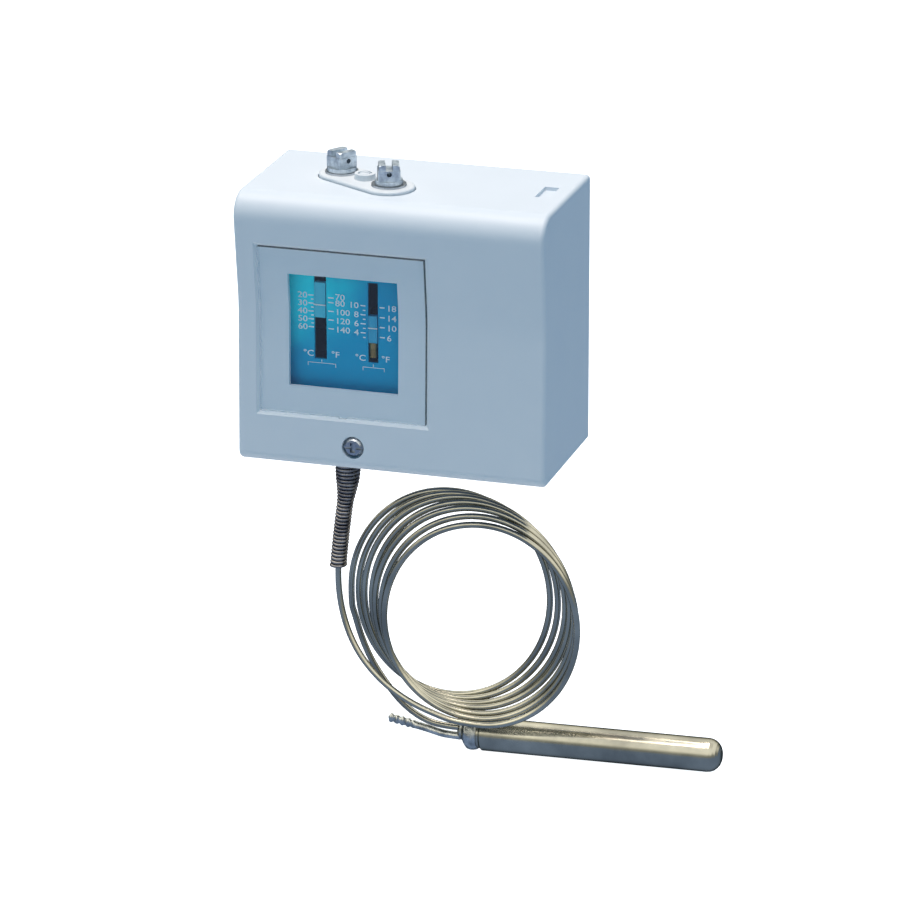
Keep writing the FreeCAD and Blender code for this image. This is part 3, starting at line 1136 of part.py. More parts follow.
def all_parts():
    nut_under = {"range": RANGE_POINTER_Z - RANGE_NUT_HEIGHT / 2,
                 "diff": DIFF_POINTER_Z - DIFF_NUT_HEIGHT / 2}
    parts = {
        "cover": make_cover(),
        "window_lens": make_window_lens(),
        "cover_screw": make_cover_screw(),
        "chassis": make_chassis(),
        "spindle_pad": make_spindle_pad(),
        "pad_screw": make_pad_screw(),
        "range_bushing": make_bushing(RANGE_X, RANGE_Y, RANGE_BUSHING_FLANGE),
        "diff_bushing": make_bushing(DIFF_X, DIFF_Y, DIFF_BUSHING_FLANGE),
        "range_spindle": make_spindle(RANGE_X, RANGE_Y, RANGE_COLLAR_RADIUS, RANGE_HEAD_TURN, 90),
        "diff_spindle": make_spindle(DIFF_X, DIFF_Y, DIFF_COLLAR_RADIUS, DIFF_HEAD_TURN, 0),
        "range_clip": make_clip(RANGE_X, RANGE_Y),
        "diff_clip": make_clip(DIFF_X, DIFF_Y),
        "range_carriage": make_carriage(RANGE_X, RANGE_Y, RANGE_SLOT_X, RANGE_NUT_HEIGHT,
                                        RANGE_POINTER_Z),
        "diff_carriage": make_carriage(DIFF_X, DIFF_Y, DIFF_SLOT_X, DIFF_NUT_HEIGHT,
                                       DIFF_POINTER_Z),
        "range_pointer": make_pointer(RANGE_SLOT_X, RANGE_SLOT_WIDTH, RANGE_POINTER_Z,
                                      RANGE_POINTER_BELOW, RANGE_POINTER_ABOVE),
        "diff_pointer": make_pointer(DIFF_SLOT_X, DIFF_SLOT_WIDTH, DIFF_POINTER_Z,
                                     DIFF_POINTER_BELOW, DIFF_POINTER_ABOVE),
        "pointer_screw": make_pointer_screw(),
        "scale_plate": make_scale_plate(),
        "main_lever": make_lever(),
        "lever_bracket": make_lever_bracket(),
        "pivot_pin": make_pivot_pin(),
        "range_spring_seat": make_spring_seat(),
        "diff_spring_anchor": make_spring_anchor(),
        "range_spring": make_setting_spring(RANGE_X, RANGE_Y, RANGE_SPRING_RADIUS,
                                            RANGE_SPRING_WIRE, RANGE_SPRING_TURNS,
                                            nut_under["range"]),
        "diff_spring": make_setting_spring(DIFF_X, DIFF_Y, DIFF_SPRING_RADIUS, DIFF_SPRING_WIRE,
                                           DIFF_SPRING_TURNS, nut_under["diff"]),
        "bellows_cup": make_bellows_cup(),
        "bellows_cap": make_bellows_cap(),
        "bellows": make_bellows(),
        "pusher": make_pusher(),
        "ferrule": make_ferrule(),
        "guard_spring": make_guard_spring(),
        "capillary_lead": make_capillary(LEAD_ROUTE, "capillary_lead"),
        "capillary_coil": make_capillary_coil(),
        "capillary_tail": make_capillary(TAIL_ROUTE, "capillary_tail"),
        "bulb_neck": make_bulb_neck(),
        "bulb": make_bulb(),
        "filling_stub": make_filling_stub(),
        "switch_body": make_switch_body(),
        "switch_plunger": make_switch_plunger(),
        "contact_arm": make_contact_arm(),
        "contact_pin": make_contact_pin(),
        "fixed_contact": make_fixed_contact(),
        "terminal_block": make_terminal_block(),
        "earth_screw": make_earth_screw(),
        "cable_grommet": make_cable_grommet(),
    }
    for side, x in scale_ear_places().items():
        parts["scale_pillar_" + side] = make_scale_pillar(x)
        parts["scale_screw_" + side] = make_scale_screw(x)
    for index, x in enumerate(terminal_places(), start=1):
        parts["terminal_clamp_%d" % index] = make_terminal_clamp(x)
        parts["terminal_screw_%d" % index] = make_terminal_screw(x)
    return parts


def main():
    os.makedirs("parts", exist_ok=True)
    for name, shape in all_parts().items():
        if not shape.isValid() or len(shape.Solids) != 1:
            print(name, "valid", shape.isValid(), "solids", len(shape.Solids))
        shape.exportStep(os.path.join("parts", name + ".step"))


main()
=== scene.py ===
import json
import logging
import math
from dataclasses import dataclass, field
from enum import Enum
from typing import Any

import bpy
import numpy as np
from mathutils import Matrix, Vector


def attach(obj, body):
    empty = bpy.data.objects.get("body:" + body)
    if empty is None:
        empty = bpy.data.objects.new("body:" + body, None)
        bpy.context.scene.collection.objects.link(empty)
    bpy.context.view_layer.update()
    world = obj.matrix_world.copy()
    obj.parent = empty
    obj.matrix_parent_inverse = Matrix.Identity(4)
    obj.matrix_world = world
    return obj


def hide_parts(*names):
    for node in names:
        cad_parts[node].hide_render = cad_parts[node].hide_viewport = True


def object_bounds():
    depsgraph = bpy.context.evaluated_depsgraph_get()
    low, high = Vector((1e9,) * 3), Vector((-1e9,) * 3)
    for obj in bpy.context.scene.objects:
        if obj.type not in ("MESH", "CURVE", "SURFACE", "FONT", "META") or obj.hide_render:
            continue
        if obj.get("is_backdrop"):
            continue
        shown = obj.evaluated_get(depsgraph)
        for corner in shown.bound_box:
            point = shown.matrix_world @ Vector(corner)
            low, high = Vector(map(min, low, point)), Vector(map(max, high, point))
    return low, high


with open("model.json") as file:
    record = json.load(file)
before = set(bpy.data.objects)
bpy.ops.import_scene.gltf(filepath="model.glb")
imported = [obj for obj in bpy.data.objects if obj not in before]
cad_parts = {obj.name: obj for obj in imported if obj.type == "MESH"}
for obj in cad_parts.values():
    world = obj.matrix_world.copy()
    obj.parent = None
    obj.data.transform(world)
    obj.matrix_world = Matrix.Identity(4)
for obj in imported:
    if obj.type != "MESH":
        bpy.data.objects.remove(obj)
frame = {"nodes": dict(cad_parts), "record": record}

# Capillary thermostat for wall mounting, dressed over the CAD frame.
# Metres; X right, Y into the wall, Z up; the origin is the centre of the back face.

LOG = logging.getLogger("thermostat")
MM = 0.001
WHITE = (1.0, 1.0, 1.0, 1.0)
PLASTIC_IOR = 1.5
BUMP_HEIGHT = 0.0002
# The middle of a noise's values, over which a roughness is spread.
NOISE_MIDDLE = (0.3, 0.7)
Points = np.ndarray
Triple = tuple[float, float, float]


def linear(hex_colour: str) -> tuple[float, float, float, float]:
    """Turns an sRGB hex colour into the linear values that the shaders take.

    Args:
        hex_colour: six hex digits, with or without a leading mark.

    Returns:
        Red, green and blue, linear, and a fourth value of one.
    """
    digits = hex_colour.lstrip("#")
    srgb = np.array([int(digits[i : i + 2], 16) for i in (0, 2, 4)]) / 255.0
    flat = np.where(srgb <= 0.04045, srgb / 12.92, ((srgb + 0.055) / 1.055) ** 2.4)
    return (float(flat[0]), float(flat[1]), float(flat[2]), 1.0)


def add_node(tree: bpy.types.NodeTree, kind: str, links: dict[Any, Any] | None = None,
             **settings: Any) -> bpy.types.Node:
    """Adds a shader node with its settings, constants and links.

    Args:
        tree: the material's node tree.
        kind: the node's type name.
        links: input name or number against an output socket, or against a constant.
        settings: the node's own properties.

    Returns:
        The new node.
    """
    node = tree.nodes.new(kind)
    for name, value in settings.items():
        setattr(node, name, value)
    for name, value in (links or {}).items():
        if isinstance(value, bpy.types.NodeSocket):
            tree.links.new(value, node.inputs[name])
        else:
            node.inputs[name].default_value = value
    return node


def new_material(name: str) -> tuple[bpy.types.Material, bpy.types.NodeTree, bpy.types.Node]:
    """Makes an empty node material.

    Args:
        name: the material's name.

    Returns:
        The material, its tree, and its output node.
    """
    material = bpy.data.materials.new(name)
    material.use_nodes = True
    material.node_tree.nodes.clear()
    output = material.node_tree.nodes.new("ShaderNodeOutputMaterial")
    return material, material.node_tree, output


def either_ray(tree: bpy.types.NodeTree, rays: bpy.types.Node, first: str,
               second: str) -> bpy.types.NodeSocket:
    """Returns a value that is one for either of two kinds of ray, and nothing for others.

    Args:
        tree: the node tree.
        rays: its Light Path node.
        first: one kind of ray.
        second: the other kind.

    Returns:
        The value's socket.
    """
    return add_node(tree, "ShaderNodeMath", {
        0: rays.outputs[first], 1: rays.outputs[second]}, operation="MAXIMUM").outputs[0]


def put(name: str, data: bpy.types.ID) -> bpy.types.Object:
    """Makes an object of its data and links it to the scene.

    Args:
        name: the object's name.
        data: its mesh, curve, lamp or camera.

    Returns:
        The new object.
    """
    thing = bpy.data.objects.new(name, data)
    bpy.context.scene.collection.objects.link(thing)
    return thing


@dataclass(frozen=True)
class Moulding:
    """A moulded plastic: a soft sheen, a fine spark-eroded grain and faint flow mottling.

    The eye sees a smooth even colour whose highlights spread softly, because the mould's
    grain, about a tenth of a millimetre, breaks them up. The grain is drawn at grain_mm,
    coarser than the real one, so that it shows in the render.
    """

    name: str
    colour: str
    shade: str
    roughness: tuple[float, float] = (0.38, 0.46)
    grain_mm: float = 0.45
    grain_depth: float = 0.05
    mottle_mm: float = 14.0

    def material(self) -> bpy.types.Material:
        """Builds the plastic's nodes.

        Returns:
            The finished material.
        """
        material, tree, output = new_material(self.name)
        place = add_node(tree, "ShaderNodeTexCoord").outputs["Object"]
        mottle = add_node(tree, "ShaderNodeTexNoise", {
            "Vector": place, "Scale": 1000 / self.mottle_mm, "Detail": 3.0, "Roughness": 0.5})
        colour = add_node(tree, "ShaderNodeMix", {
            "Factor": mottle.outputs["Fac"], 6: linear(self.shade), 7: linear(self.colour)},
            data_type="RGBA")
        grain = add_node(tree, "ShaderNodeTexNoise", {
            "Vector": place, "Scale": 1000 / self.grain_mm, "Detail": 2.0, "Roughness": 0.6})
        rough = add_node(tree, "ShaderNodeMapRange", {
            "Value": mottle.outputs["Fac"], "From Min": NOISE_MIDDLE[0],
            "From Max": NOISE_MIDDLE[1], "To Min": self.roughness[0],
            "To Max": self.roughness[1]})
        bump = add_node(tree, "ShaderNodeBump", {
            "Height": grain.outputs["Fac"], "Strength": self.grain_depth, "Distance": BUMP_HEIGHT})
        shader = add_node(tree, "ShaderNodeBsdfPrincipled", {
            "Base Color": colour.outputs[2], "Roughness": rough.outputs["Result"],
            "Normal": bump.outputs["Normal"], "IOR": PLASTIC_IOR})
        tree.links.new(shader.outputs[0], output.inputs["Surface"])
        return material


@dataclass(frozen=True)
class Metalwork:
    """A bare or plated metal with drawn or tumbled marks and patches of duller film.

    The eye sees a bright ground colour with darker patches where the plating has dulled,
    and fine marks along the way the metal was drawn, cast or rolled. The marks' size is
    streak_mm along each axis, drawn wider than real drawing lines so that they show. The
    painted rim shade tones the reflection down where the metal turns away from the eye:
    it is painted shade, a dark edge tint standing in for dark surroundings mirrored there.
    """

    name: str
    bright: str
    dull: str
    roughness: tuple[float, float] = (0.22, 0.40)
    patch_mm: float = 9.0
    streak_mm: Triple = (0.8, 0.8, 0.8)
    mark_depth: float = 0.15
    contrast: tuple[float, float] = (0.35, 0.65)
    # Painted shade: a dark tint for the reflection's edges, standing for dark surroundings.
    painted_rim_shade: str = "#4A4E52"

    def material(self) -> bpy.types.Material:
        """Builds the metal's nodes.

        Returns:
            The finished material.
        """
        material, tree, output = new_material(self.name)
        place = add_node(tree, "ShaderNodeTexCoord").outputs["Object"]
        stretch = add_node(tree, "ShaderNodeMapping", {
            "Vector": place, "Scale": tuple(1000 / mm for mm in self.streak_mm)})
        patch = add_node(tree, "ShaderNodeTexNoise", {
            "Vector": stretch.outputs["Vector"], "Scale": min(self.streak_mm) / self.patch_mm,
            "Detail": 4.0, "Roughness": 0.55})
        share = add_node(tree, "ShaderNodeMapRange", {
            "Value": patch.outputs["Fac"], "From Min": self.contrast[0],
            "From Max": self.contrast[1]})
        colour = add_node(tree, "ShaderNodeMix", {
            "Factor": share.outputs["Result"], 6: linear(self.dull), 7: linear(self.bright)},
            data_type="RGBA")
        marks = add_node(tree, "ShaderNodeTexNoise", {
            "Vector": stretch.outputs["Vector"], "Scale": 1.0, "Detail": 3.0, "Roughness": 0.6})
        rough = add_node(tree, "ShaderNodeMapRange", {
            "Value": marks.outputs["Fac"], "From Min": NOISE_MIDDLE[0],
            "From Max": NOISE_MIDDLE[1], "To Min": self.roughness[0],
            "To Max": self.roughness[1]})
        bump = add_node(tree, "ShaderNodeBump", {
            "Height": marks.outputs["Fac"], "Strength": self.mark_depth, "Distance": BUMP_HEIGHT})
        # Specular Tint carries the painted shade, a dark edge tint that darkens the reflection at
        # grazing angles.
        shader = add_node(tree, "ShaderNodeBsdfPrincipled", {
            "Base Color": colour.outputs[2], "Roughness": rough.outputs["Result"],
            "Normal": bump.outputs["Normal"], "Metallic": 1.0,
            "Specular Tint": linear(self.painted_rim_shade)})
        tree.links.new(shader.outputs[0], output.inputs["Surface"])
        return material


@dataclass(frozen=True)
class ClearMoulding:
    """Polished clear acrylic: it shows what lies behind it, with a soft reflection on top.

    Shadow and diffuse rays pass straight through to the dial, as through a thin pane. A
    very shallow ripple keeps the reflection from being that of a perfect mirror.
    """

    name: str
    tint: str
    roughness: float = 0.03
    ior: float = 1.49
    specular: float = 0.2
    ripple_mm: float = 22.0
    ripple_depth: float = 0.02
    ripple_height: float = 0.0001

    def material(self) -> bpy.types.Material:
        """Builds the acrylic's nodes.

        Returns:
            The finished material.
        """
        material, tree, output = new_material(self.name)
        place = add_node(tree, "ShaderNodeTexCoord").outputs["Object"]
        ripple = add_node(tree, "ShaderNodeTexNoise", {
            "Vector": place, "Scale": 1000 / self.ripple_mm, "Detail": 1.0})
        bump = add_node(tree, "ShaderNodeBump", {
            "Height": ripple.outputs["Fac"], "Strength": self.ripple_depth,
            "Distance": self.ripple_height})
        shader = add_node(tree, "ShaderNodeBsdfPrincipled", {
            "Base Color": linear(self.tint), "Roughness": self.roughness, "IOR": self.ior,
            "Transmission Weight": 1.0, "Specular IOR Level": self.specular,
            "Normal": bump.outputs["Normal"]})
        rays = add_node(tree, "ShaderNodeLightPath")
        straight = either_ray(tree, rays, "Is Shadow Ray", "Is Diffuse Ray")
        through = add_node(tree, "ShaderNodeBsdfTransparent", {"Color": linear(self.tint)})
        mix = add_node(tree, "ShaderNodeMixShader", {
            0: straight, 1: shader.outputs[0], 2: through.outputs[0]})
        tree.links.new(mix.outputs[0], output.inputs["Surface"])
        return material


@dataclass(frozen=True)
class DialLacquerPaintedLight:
    """Coloured lacquer on an aluminium dial, with painted light brightening one corner.

    The eye sees a deep even colour, the lacquer's own, and a faint unevenness of the sprayed
    film. The light colour is painted light: it brightens the upper left, where the light
    falls on it, and holds out to near_mm from the centre, giving way to the deep one at
    reach_mm, where the film's noise adds up to film_shift_mm to the distance, which also
    makes the painted light's edge uneven.
    """

    name: str
    deep: str
    # Painted light: the colour of the brightened upper left of the dial.
    light: str
    centre: Triple
    reach_mm: float
    roughness: float = 0.32
    near_mm: float = 12.0
    film_mm: float = 9.0
    film_shift_mm: float = 16.0
    specular: float = 0.1

    def material(self) -> bpy.types.Material:
        """Builds the lacquer's nodes.

        Returns:
            The finished material.
        """
        material, tree, output = new_material(self.name)
        place = add_node(tree, "ShaderNodeTexCoord").outputs["Object"]
        away = add_node(tree, "ShaderNodeVectorMath", {0: place, 1: self.centre},
                        operation="DISTANCE")
        film = add_node(tree, "ShaderNodeTexNoise", {
            "Vector": place, "Scale": 1000 / self.film_mm, "Detail": 3.0, "Roughness": 0.6})
        uneven = add_node(tree, "ShaderNodeMath", {
            0: film.outputs["Fac"], 1: self.film_shift_mm * MM, 2: away.outputs["Value"]},
            operation="MULTIPLY_ADD")
        share = add_node(tree, "ShaderNodeMapRange", {
            "Value": uneven.outputs[0], "From Min": self.near_mm * MM,
            "From Max": self.reach_mm * MM}, interpolation_type="SMOOTHSTEP")
        # Painted light: the light colour brightens the dial around the centre, at its upper left.
        colour = add_node(tree, "ShaderNodeMix", {
            "Factor": share.outputs["Result"], 6: linear(self.light), 7: linear(self.deep)},
            data_type="RGBA")
        shader = add_node(tree, "ShaderNodeBsdfPrincipled", {
            "Base Color": colour.outputs[2], "Roughness": self.roughness,
            "IOR": PLASTIC_IOR, "Specular IOR Level": self.specular})
        tree.links.new(shader.outputs[0], output.inputs["Surface"])
        return material


class Finish(Enum):
    """The finishes, one for each material slot of the record and a few for scene pieces."""

    HOUSING = Moulding("moulded_abs_pale_grey", "#E3EAF0", "#DEE6ED")
    LENS = ClearMoulding("polished_acrylic", "#FEFFFF")
    WHITE = Moulding("moulded_nylon_white", "#E2E7EA", "#DBE1E6", (0.40, 0.5))
    BLACK = Moulding("moulded_phenolic_black", "#0F1012", "#0A0B0C", (0.30, 0.42))
    CYAN = Moulding("moulded_acetal_cyan", "#4FD2E8", "#3CC4DE", (0.30, 0.40))
    BLUE = Moulding("moulded_acetal_blue", "#2DB0D6", "#22A4CC", (0.30, 0.40))
    # The dial's second colour is painted light, centred at its upper left.
    DIAL = DialLacquerPaintedLight("lacquered_dial_painted_light", "#00A6D4", "#24F0FF", (-0.034, -0.0475, 0.015), 36.0)
    ZINC = Metalwork("zinc_plated_steel", "#BBC2C8", "#A9B1B8", (0.28, 0.45), 14.0)
    HEAD = Metalwork("tumbled_zinc_casting", "#DCE8F2", "#A7B5C2", (0.30, 0.5), 2.6,
                     (0.35, 0.35, 0.35), 0.35)
    NICKEL = Metalwork("nickel_plated_tube", "#DDD2B8", "#B3A996", (0.18, 0.30), 2.4,
                       (80.0, 0.7, 0.7), 0.06)
    SPRING = Metalwork("oiled_spring_steel", "#B8B3AE", "#7C7A7C", (0.20, 0.34), 4.0)
    COPPER = Metalwork("tinned_copper_tube", "#D0CDBA", "#9B9A8E", (0.16, 0.26), 30.0,
                       (4.0, 4.0, 4.0), 0.08)
    SOLDER = Metalwork("soft_solder", "#E6E8E0", "#A2A6A2", (0.18, 0.42), 3.2,
                       (0.9, 0.9, 0.9), 0.6)
    PLATED = Metalwork("nickel_plated_brass", "#C3CAD1", "#A4ADB6", (0.25, 0.4), 5.0)
    BRASS = Metalwork("turned_brass", "#C2A566", "#8F7540", (0.25, 0.4), 6.0)
    BRONZE = Metalwork("rolled_bronze", "#B58E5A", "#85653F", (0.3, 0.45), 6.0)
    RUBBER = Moulding("moulded_rubber_black", "#202224", "#17191A", (0.55, 0.7), 0.6, 0.12)
    PRINT = Moulding("screen_printed_white", "#FFFFFF", "#F6FAFD", (0.45, 0.55), 0.3, 0.02)


SLOT_FINISHES = {
    "housing_plastic": Finish.HOUSING, "clear_plastic": Finish.LENS,
    "white_plastic": Finish.WHITE, "black_plastic": Finish.BLACK,
    "cyan_plastic": Finish.CYAN, "blue_plastic": Finish.BLUE, "scale_enamel": Finish.DIAL,
    "zinc_plated_steel": Finish.ZINC, "nickel_plated_steel": Finish.NICKEL,
    "spring_steel": Finish.SPRING, "tinned_copper": Finish.COPPER, "brass": Finish.BRASS,
    "bronze": Finish.BRONZE, "rubber": Finish.RUBBER,
}
# Nodes whose look in the photograph isn't that of their slot.
OWN_FINISHES = {
    "range_spindle": Finish.HEAD, "diff_spindle": Finish.HEAD,
    "range_bushing": Finish.PLATED, "diff_bushing": Finish.PLATED,
    "cover_screw": Finish.PLATED, "pad_screw": Finish.WHITE,
}


class FinishRack:
    """Builds each finish once and hands it out."""

    def __init__(self) -> None:
        """Starts with nothing built."""
        self.built: dict[Finish, bpy.types.Material] = {}

    def get(self, finish: Finish) -> bpy.types.Material:
        """Returns the finish's material, built on first use.

        Args:
            finish: which finish.

        Returns:
            Its material.
        """
        if finish not in self.built:
            self.built[finish] = finish.value.material()
        return self.built[finish]


RACK = FinishRack()


def grid_faces(rows: int, columns: int) -> np.ndarray:
    """Lists the quads of a grid whose columns close on themselves.

    Face (i, j) joins points (i, j), (i, j+1), (i+1, j+1) and (i+1, j), with j+1 taken
    modulo columns.

    Args:
        rows: rows of points.
        columns: points in each row.

    Returns:
        Point numbers, four to a row.
    """
    i, j = np.meshgrid(np.arange(rows - 1), np.arange(columns), indexing="ij")
    right = (j + 1) % columns
    quads = np.stack([i * columns + j, i * columns + right,
                      (i + 1) * columns + right, (i + 1) * columns + j], axis=-1)
    return quads.reshape(-1, 4)


def closed_sleeve(name: str, rings: Points, finish: Finish,
                  body: str = "case") -> bpy.types.Object:
    """Makes a closed mesh from rings of points, with a cap on each end.

    Args:
        name: the piece's name.
        rings: points as (ring, place round the ring, axis).
        finish: its finish.
        body: the CAD body that it rides on.

    Returns:
        The new object.
    """
    rows, columns = rings.shape[:2]
    around = np.arange(columns)
    onward = (around + 1) % columns
    low, high = rows * columns, rows * columns + 1
    last = (rows - 1) * columns
    caps = np.concatenate([
        np.stack([onward, around, np.full(columns, low)], axis=-1),
        np.stack([last + around, last + onward, np.full(columns, high)], axis=-1)])
    points = np.concatenate([rings.reshape(-1, 3), rings[:1].mean(axis=1),
                             rings[-1:].mean(axis=1)])
    mesh = bpy.data.meshes.new(name)
    mesh.from_pydata(points.tolist(), [], grid_faces(rows, columns).tolist() + caps.tolist())
    mesh.polygons.foreach_set("use_smooth", np.ones(len(mesh.polygons), bool))
    mesh.update()
    piece = put(name, mesh)
    mesh.materials.append(RACK.get(finish))
    outward(mesh)
    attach(piece, body)
    return piece


def outward(mesh: bpy.types.Mesh) -> None:
    """Turns a closed mesh's faces outwards where its signed volume comes out negative.

    The volume is a sixth of the sum over triangles of a . (b x c).

    Args:
        mesh: the mesh to put right.
    """
    mesh.calc_loop_triangles()
    corners = np.zeros(len(mesh.loop_triangles) * 3, np.int32)
    mesh.loop_triangles.foreach_get("vertices", corners)
    places = np.zeros(len(mesh.vertices) * 3)
    mesh.vertices.foreach_get("co", places)
    a, b, c = places.reshape(-1, 3)[corners.reshape(-1, 3)].transpose(1, 0, 2)
    if np.einsum("ij,ij->", a, np.cross(b, c)) < 0:
        mesh.flip_normals()


def unit(vectors: Points) -> Points:
    """Scales each vector to length one."""
    return vectors / np.linalg.norm(vectors, axis=-1, keepdims=True)


def swept_sleeve(path: Points, across: Points, half_widths: Points,
                 half_depths: Points, sides: int) -> Points:
    """Carries an oval along a path.

    Point (s, a) is path(s) + w(s) cos(a) n(s) + d(s) sin(a) b(s), where n is the given
    direction made square to the path's heading t, and b is t x n.

    Args:
        path: the middle line's points.
        across: one direction per path point, not along the path.
        half_widths: the oval's half width at each path point.
        half_depths: the oval's half depth at each path point.
        sides: points round the oval.

    Returns:
        The rings of points.
    """
    heading = unit(np.gradient(path, axis=0))
    normal = unit(across - heading * np.sum(across * heading, axis=1, keepdims=True))
    other = np.cross(heading, normal)
    angle = np.linspace(0, 2 * math.pi, sides, endpoint=False)
    return (path[:, None] + (half_widths[:, None] * np.cos(angle))[..., None] * normal[:, None]
            + (half_depths[:, None] * np.sin(angle))[..., None] * other[:, None])


def turned_rings(origin: Points, axis: Points, profile: Points, sides: int) -> Points:
    """Turns a profile of (distance along, radius) about an axis.

    Point (k, a) is origin + x(k) e + r(k) (cos(a) u + sin(a) v), with u and v square to e.

    Args:
        origin: where the profile's distances start.
        axis: the axis, length one.
        profile: distance and radius pairs, in metres.
        sides: points round the axis.

    Returns:
        The rings of points.
    """
    u = unit(np.cross(axis, np.array([0.0, 1.0, 0.0])))
    v = np.cross(axis, u)
    angle = np.linspace(0, 2 * math.pi, sides, endpoint=False)
    spokes = np.cos(angle)[:, None] * u + np.sin(angle)[:, None] * v
    return origin + profile[:, :1, None] * axis + profile[:, 1:, None] * spokes[None]


@dataclass(frozen=True)
class Lamp:
    """A square soft lamp: where it stands, the point it faces, its side and its light."""

    name: str
    place: Triple
    aim: Triple
    side: float
    watts: float
    colour: str

    def hang(self) -> None:
        """Makes the lamp, turned towards its aim."""
        data = bpy.data.lights.new(self.name, "AREA")
        data.shape = "SQUARE"
        data.size = self.side
        data.energy = self.watts
        data.color = linear(self.colour)[:3]
        lamp = put(self.name, data)
        lamp.location = self.place
        towards = Vector(self.aim) - Vector(self.place)
        lamp.rotation_euler = towards.to_track_quat("-Z", "Y").to_euler()


@dataclass
class Studio:
    """The camera at the photograph's angle, the lamps, the surround and a pale floor."""

    focal_px: float = 5110.4
    frame_px: float = 900.0
    sensor_mm: float = 36.0
    clip: tuple[float, float] = (0.05, 50.0)
    yaw: float = math.radians(17.216)
    pitch: float = math.radians(19.478)
    roll: float = math.radians(0.154)
    stand: Triple = (0.50681, -1.62122, 0.54308)
    fill: str = "#69CCFF"
    fill_strength: float = 0.346
    lamps: tuple[Lamp, ...] = (
        Lamp("key", (-0.12, -0.10, 1.5), (0.0, -0.03, 0.0), 1.0, 24.8, "#FFF0E5"),
        Lamp("front", (-1.1, -1.5, 0.35), (0.0, -0.03, -0.02), 1.2, 1.5, "#FFF6DC"))
    mirrored: tuple[tuple[float, str], ...] = (
        (0.0, "#55657C"), (0.50, "#7B8083"), (0.60, "#84857F"), (0.72, "#FFFBF2"),
        (0.90, "#FFFDF8"), (1.0, "#B9B6AE"))
    mirrored_strength: float = 1.4
    floor_reach: float = 6.0
    floor_gap: float = 0.0004
    floor_colour: str = "#E6E8EA"
    floor_mirrored: str = "#7E91B2"

    def camera(self) -> None:
        """Makes the camera.

        Its forward is (-sin yaw cos pitch, cos yaw cos pitch, -sin pitch), then it is
        rolled about that line.
        """
        data = bpy.data.cameras.new("camera")
        data.sensor_width = self.sensor_mm
        data.lens = self.focal_px / self.frame_px * self.sensor_mm
        data.clip_start, data.clip_end = self.clip
        forward = np.array([-math.sin(self.yaw) * math.cos(self.pitch),
                            math.cos(self.yaw) * math.cos(self.pitch), -math.sin(self.pitch)])
        right = np.array([math.cos(self.yaw), math.sin(self.yaw), 0.0])
        down = np.cross(forward, right)
        across = math.cos(self.roll) * right + math.sin(self.roll) * down
        below = -math.sin(self.roll) * right + math.cos(self.roll) * down
        turn = np.eye(4)
        turn[:3, :3] = np.stack([across, -below, -forward], axis=1)
        turn[:3, 3] = self.stand
        camera = put("camera", data)
        camera.matrix_world = Matrix(turn.tolist())
        bpy.context.scene.camera = camera

    def surround(self) -> None:
        """Sets the world: soft fill light, and plain white to the camera and through glass.

        Surfaces mirror a graded room instead, bright overhead, dim at eye level and bluish
        below, by the ray's height from -1 to 1, as in the mirrored values.
        """
        world = bpy.data.worlds.new("studio")
        world.use_nodes = True
        tree = world.node_tree
        tree.nodes.clear()
        rays = add_node(tree, "ShaderNodeLightPath")
        seen = either_ray(tree, rays, "Is Camera Ray", "Is Transmission Ray")
        fill = add_node(tree, "ShaderNodeBackground", {
            "Color": linear(self.fill), "Strength": self.fill_strength})
        white = add_node(tree, "ShaderNodeBackground", {"Color": WHITE, "Strength": 1.0})
        heading = add_node(tree, "ShaderNodeTexCoord").outputs["Generated"]
        height = add_node(tree, "ShaderNodeSeparateXYZ", {0: heading}).outputs["Z"]
        share = add_node(tree, "ShaderNodeMapRange", {
            "Value": height, "From Min": -1.0, "From Max": 1.0})
        ramp = add_node(tree, "ShaderNodeValToRGB", {0: share.outputs["Result"]})
        stops = ramp.color_ramp.elements
        while len(stops) < len(self.mirrored):
            stops.new(0.5)
        for stop, (place, colour) in zip(stops, self.mirrored):
            stop.position, stop.color = place, linear(colour)
        room = add_node(tree, "ShaderNodeBackground", {
            "Color": ramp.outputs["Color"], "Strength": self.mirrored_strength})
        lit = add_node(tree, "ShaderNodeMixShader", {
            0: rays.outputs["Is Glossy Ray"], 1: fill.outputs[0], 2: room.outputs[0]})
        mix = add_node(tree, "ShaderNodeMixShader", {
            0: seen, 1: lit.outputs[0], 2: white.outputs[0]})
        output = add_node(tree, "ShaderNodeOutputWorld")
        tree.links.new(mix.outputs[0], output.inputs["Surface"])
        bpy.context.scene.world = world

    def floor(self, height: float) -> None:
        """Lays the floor: matt white that keeps the shadow, lifted to the white surround.

        Surfaces mirror its own bluish colour instead.

        Args:
            height: the floor's Z.
        """
        reach = self.floor_reach
        mesh = bpy.data.meshes.new("floor")
        mesh.from_pydata([(-reach, -reach, height), (reach, -reach, height),
                          (reach, reach, height), (-reach, reach, height)], [], [(0, 1, 2, 3)])
        floor = put("floor", mesh)
        material, tree, output = new_material("studio_floor")
        matt = add_node(tree, "ShaderNodeBsdfDiffuse", {"Color": linear(self.floor_colour)})
        rays = add_node(tree, "ShaderNodeLightPath")
        seen = either_ray(tree, rays, "Is Camera Ray", "Is Transmission Ray")
        lift = add_node(tree, "ShaderNodeEmission", {"Color": WHITE, "Strength": seen})
        both = add_node(tree, "ShaderNodeAddShader", {0: matt.outputs[0], 1: lift.outputs[0]})
        below = add_node(tree, "ShaderNodeEmission", {"Color": linear(self.floor_mirrored)})
        mix = add_node(tree, "ShaderNodeMixShader", {
            0: rays.outputs["Is Glossy Ray"], 1: both.outputs[0], 2: below.outputs[0]})
        tree.links.new(mix.outputs[0], output.inputs["Surface"])
        mesh.materials.append(material)
        floor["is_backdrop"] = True

    def build(self, low: Vector) -> None:
        """Makes the surround, the lamps and the floor.

        Args:
            low: the object's lowest corner.
        """
        self.surround()
        for lamp in self.lamps:
            lamp.hang()
        self.floor(low.z - self.floor_gap)


